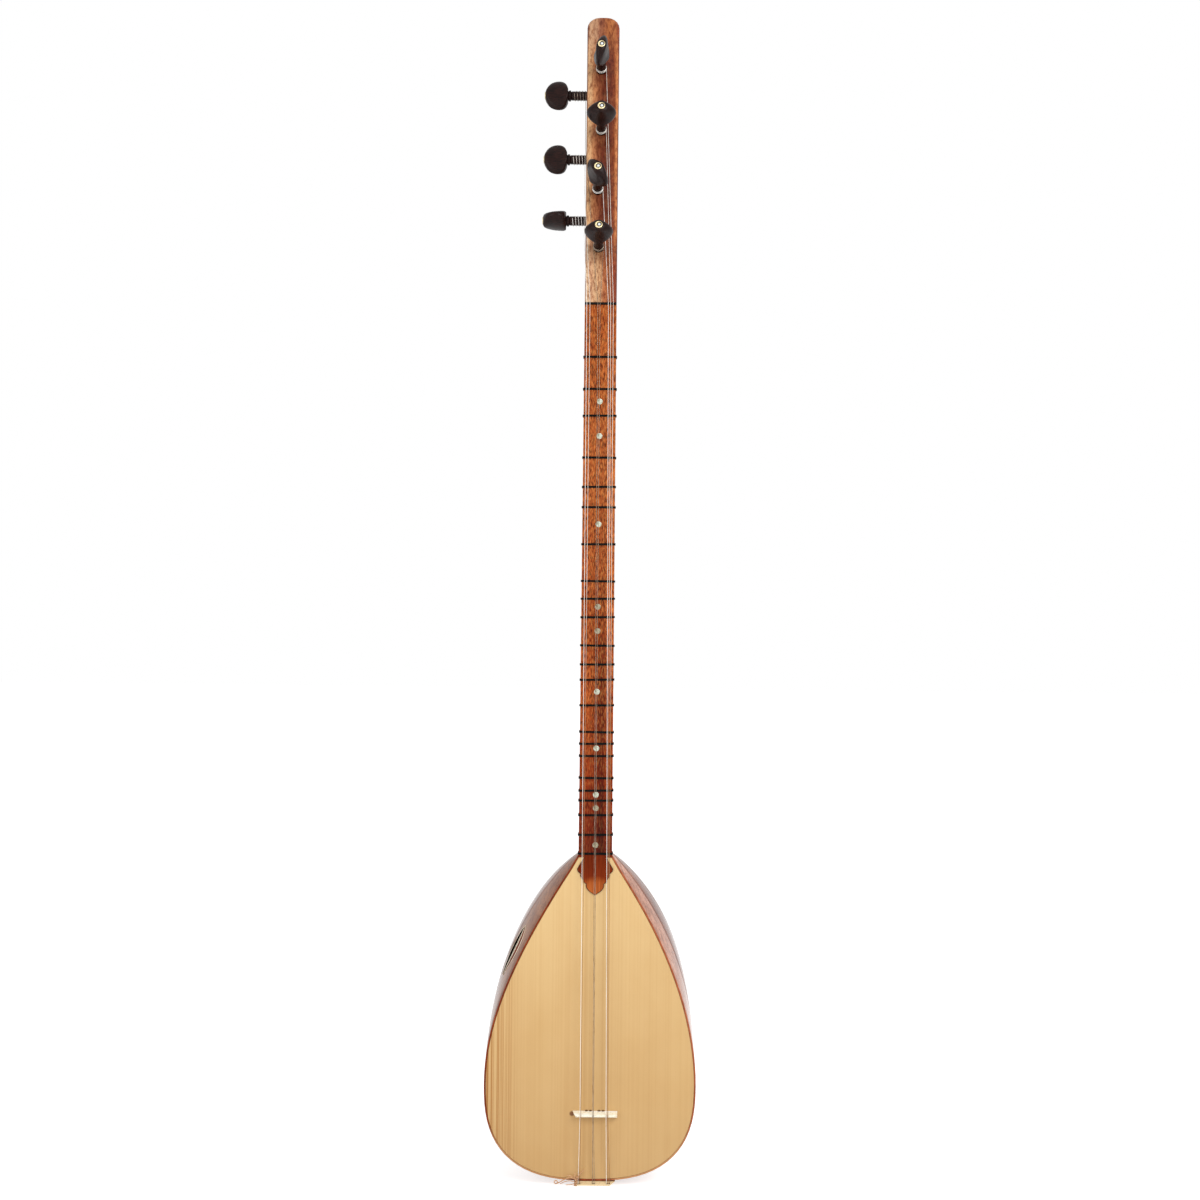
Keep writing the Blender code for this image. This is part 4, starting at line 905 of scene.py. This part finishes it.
def superellipse(height, half_x, half_y, roundness):
    """Oval about +Z; a roundness of 2 is an ellipse, and more is squarer."""
    ring = []
    for side in range(OVAL_SIDES):
        angle = 2.0 * math.pi * side / OVAL_SIDES
        cosine, sine = math.cos(angle), math.sin(angle)
        ring.append(Vector((math.copysign(abs(cosine) ** (2.0 / roundness), cosine) * half_x,
                            math.copysign(abs(sine) ** (2.0 / roundness), sine) * half_y, height)))
    return ring


def make_peg(name, stand, button, bored, matrix, turn):
    """Turned peg in a hole of the bored depth, with a brass ring and a pearl in its end."""
    foot = stand - BUTTON_LENGTH
    shank = [(above - bored, radius) for above, radius in PEG_START] + [(0.0, PEG_SHANK)]
    shank += [(foot + above, radius) for above, radius in PEG_COLLAR]
    rings = [superellipse(height, radius, radius, 2.0) for height, radius in shank]
    for share, across, through, roundness in smooth_rows(PEG_BUTTON):
        rings.append(superellipse(
            foot + BUTTON_LENGTH * share, button[0] / 2 * across, button[1] / 2 * through, roundness))
    rings += [superellipse(stand + above, radius, radius, 2.0) for above, radius in PEG_END]
    matrix = matrix @ Matrix.Rotation(math.radians(turn), 4, "Z")
    place(loft(f"{name}_turned", rings, angle=TURNED_ANGLE), name, "peg", name, matrix=matrix)
    toward = Matrix.Rotation(math.radians(-turn), 3, "Z") @ Vector((EYE_SHIFT, EYE_SHIFT, 0.0))
    ring = [round_ring(radius, stand + above, toward * share) for radius, above, share in EYE_RING]
    place(loft(f"{name}_ring", ring, capped=False, angle=TURNED_ANGLE), name, "brass", matrix=matrix)
    pearl_rings = [round_ring(radius, stand + above, toward) for radius, above in EYE_PEARL]
    place(loft(f"{name}_pearl", pearl_rings, angle=TURNED_ANGLE), name, "pearl_blue", matrix=matrix)


def make_pegs():
    """Four pegs in the front of the head and three in its side, on the viewer's left."""
    head = Matrix.Translation((0.0, -BOARD_RISE, NUT_Z)) @ Matrix.Rotation(-HEAD_ANGLE, 4, "X")
    upright = Matrix.Rotation(math.radians(90.0), 4, "X")
    for number, (across, along) in enumerate(FRONT_PEGS):
        matrix = head @ Matrix.Translation((across, 0.0, along)) @ upright
        button, turn = FRONT_BUTTONS[number], FRONT_TURNS[number]
        make_peg(f"peg_front_{number + 1}", FRONT_STAND, button, HEAD_DEPTH, matrix, turn)
    for number, (along, turn) in enumerate(zip(SIDE_PEGS, SIDE_TURNS), start=1):
        matrix = (head @ Matrix.Translation((-HEAD_WIDTH / 2, HEAD_DEPTH / 2, along))
                  @ Matrix.Rotation(math.radians(-90.0), 4, "Z") @ upright)
        make_peg(f"peg_side_{number}", SIDE_STAND, SIDE_BUTTON, HEAD_WIDTH, matrix, turn)


# Thread tied round the tailpiece

def make_thread():
    """Loose thread with short ends, and the turns that tie it to the tailpiece."""
    main = [(-0.0158, -0.0010, 0.0060), (-0.0172, -0.0024, 0.0082), (-0.0208, -0.0028, 0.0096),
            (-0.0250, -0.0024, 0.0090), (-0.0296, -0.0018, 0.0066), (-0.0340, -0.0014, 0.0040),
            (-0.0366, -0.0014, 0.0034), (-0.0378, -0.0018, 0.0052), (-0.0362, -0.0024, 0.0068),
            (-0.0346, -0.0028, 0.0056), (-0.0350, -0.0032, 0.0042)]
    route = smooth_route(main)
    thread = place(tubes("tail_thread", [route], 0.0005), "instrument", "thread")
    ends = [
        [(-0.0156, -0.0012, 0.0070), (-0.0140, -0.0026, 0.0110), (-0.0112, -0.0032, 0.0148),
         (-0.0080, -0.0030, 0.0180)],
        [(-0.0160, -0.0012, 0.0070), (-0.0176, -0.0028, 0.0104), (-0.0166, -0.0030, 0.0150)],
        [(-0.0164, -0.0014, 0.0050), (-0.0220, -0.0026, 0.0066), (-0.0270, -0.0018, 0.0056),
         (-0.0318, -0.0012, 0.0032)],
        [(-0.0162, -0.0016, 0.0068), (-0.0204, -0.0030, 0.0112), (-0.0250, -0.0026, 0.0118)],
        [(-0.0166, -0.0012, 0.0040), (-0.0202, -0.0022, 0.0030), (-0.0262, -0.0014, 0.0022)],
    ]
    frayed = tubes("tail_thread_ends", [smooth_route(end) for end in ends], 0.00038)
    whiskers = place(frayed, "instrument", "thread")
    turns = []
    steps = 6 * TURN_STEPS
    for step in range(steps + 1):
        angle = 2.0 * math.pi * step / TURN_STEPS
        share = step / steps
        across = mix(-0.0168, -0.0146, share) + 0.0013 * math.cos(angle)
        turns.append(Vector((across, -0.0020 - 0.0010 * math.sin(angle), mix(0.0014, 0.0110, share))))
    knot = place(tubes("tail_thread_knot", [turns], 0.00045), "instrument", "thread")


# Looks of the solids that stay
CARRIED = {
    "soundboard": "spruce", "soundboard_binding": "binding", "soundboard_brace": "brace",
    "tail_cap": "tail_cap", "fingerboard": "sapele", "fingerboard_ornament": "ornament", "head": "head",
    "bridge": "maple", "tailpiece": "tailpiece", "sound_hole_lining": "lining", "neck_block": "block",
    "tail_block": "block", "string_1": "steel", "string_2": "bronze", "string_3": "copper",
    "string_4": "copper", "string_5": "steel", "string_6": "bronze", "string_7": "bronze",
}


def dress_solids():
    """Give these solids their looks."""
    for node, look in CARRIED.items():
        dress(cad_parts[node], look)


# Stage

def make_floor():
    """Pale floor with the shadow, lit up for the camera and for reflections."""
    paint = Paint("floor")
    tree, shader = paint.tree, paint.shader
    speckle = paint.noise((40.0, 40.0, 40.0), 2.0)
    paint.feed(shader.inputs["Base Color"], paint.ramp(speckle, (0.3, 0.80), (0.7, 0.82)))
    shader.inputs["Roughness"].default_value = 1.0
    shader.inputs["Specular IOR Level"].default_value = 0.0
    rays = paint.add("ShaderNodeLightPath")
    seen = paint.calc("MAXIMUM", rays.outputs["Is Camera Ray"], rays.outputs["Is Transmission Ray"])
    seen = paint.calc("MAXIMUM", seen, rays.outputs["Is Glossy Ray"])
    glow = paint.add("ShaderNodeEmission")
    glow.inputs["Color"].default_value = rgb(*WHITE)
    paint.feed(glow.inputs["Strength"], paint.calc("MULTIPLY", seen, FLOOR_GLOW))
    both = paint.add("ShaderNodeAddShader")
    tree.links.new(shader.outputs["BSDF"], both.inputs[0])
    tree.links.new(glow.outputs["Emission"], both.inputs[1])
    tree.links.new(both.outputs["Shader"], tree.nodes["Material Output"].inputs["Surface"])
    work = bmesh.new()
    bmesh.ops.create_grid(work, x_segments=2, y_segments=2, size=FLOOR_HALF)
    floor = solid("floor", work)
    SCENE.collection.objects.link(floor)
    floor.data.materials.append(paint.material)


def make_world():
    """Even light from all round, white for the camera and for reflections."""
    world = bpy.data.worlds.new("studio")
    SCENE.world = world
    world.use_nodes = True
    tree = world.node_tree
    back = tree.nodes["Background"]
    rays = tree.nodes.new("ShaderNodeLightPath")
    seen = rays.outputs["Is Camera Ray"]
    for kind in ("Is Transmission Ray", "Is Glossy Ray"):
        either = tree.nodes.new("ShaderNodeMath")
        either.operation = "MAXIMUM"
        tree.links.new(seen, either.inputs[0])
        tree.links.new(rays.outputs[kind], either.inputs[1])
        seen = either.outputs["Value"]
    level = tree.nodes.new("ShaderNodeMapRange")
    tree.links.new(seen, level.inputs["Value"])
    level.inputs["To Min"].default_value = WORLD_LEVEL
    level.inputs["To Max"].default_value = 1.0
    tree.links.new(level.outputs["Result"], back.inputs["Strength"])
    back.inputs["Color"].default_value = rgb(*WHITE)


def make_lamp(name, spot, size, power):
    """Square lamp turned to the instrument's middle."""
    data = bpy.data.lights.new(name, "AREA")
    data.shape = "SQUARE"
    data.size = size
    data.energy = power
    lamp = bpy.data.objects.new(name, data)
    SCENE.collection.objects.link(lamp)
    lamp.location = spot
    lamp.rotation_euler = (Vector(LAMP_AIM) - Vector(spot)).to_track_quat("-Z", "Y").to_euler()


def make_camera():
    """Level camera straight in front, rolled a little."""
    data = bpy.data.cameras.new("camera")
    data.lens = CAMERA_LENS
    data.sensor_width = 36.0
    data.clip_end = 60.0
    camera = bpy.data.objects.new("camera", data)
    SCENE.collection.objects.link(camera)
    camera.location = (DATUM.x + CAMERA_SHIFT, DATUM.y - CAMERA_DISTANCE, CAMERA_HEIGHT)
    camera.rotation_euler = (math.radians(90.0), math.radians(CAMERA_ROLL), 0.0)
    SCENE.camera = camera


make_camera()
make_world()
make_lamp("key", (1.3, -2.2, 1.9), 1.6, 42.0)
make_lamp("fill", (-1.8, -1.9, 1.0), 1.8, 16.0)
make_floor()
dress_solids()
make_staves()
make_hole_bands()
make_neck()
make_frets()
make_dots()
make_nut()
make_ornament_line()
make_pegs()
make_thread()

SCENE.view_settings.view_transform = "Standard"
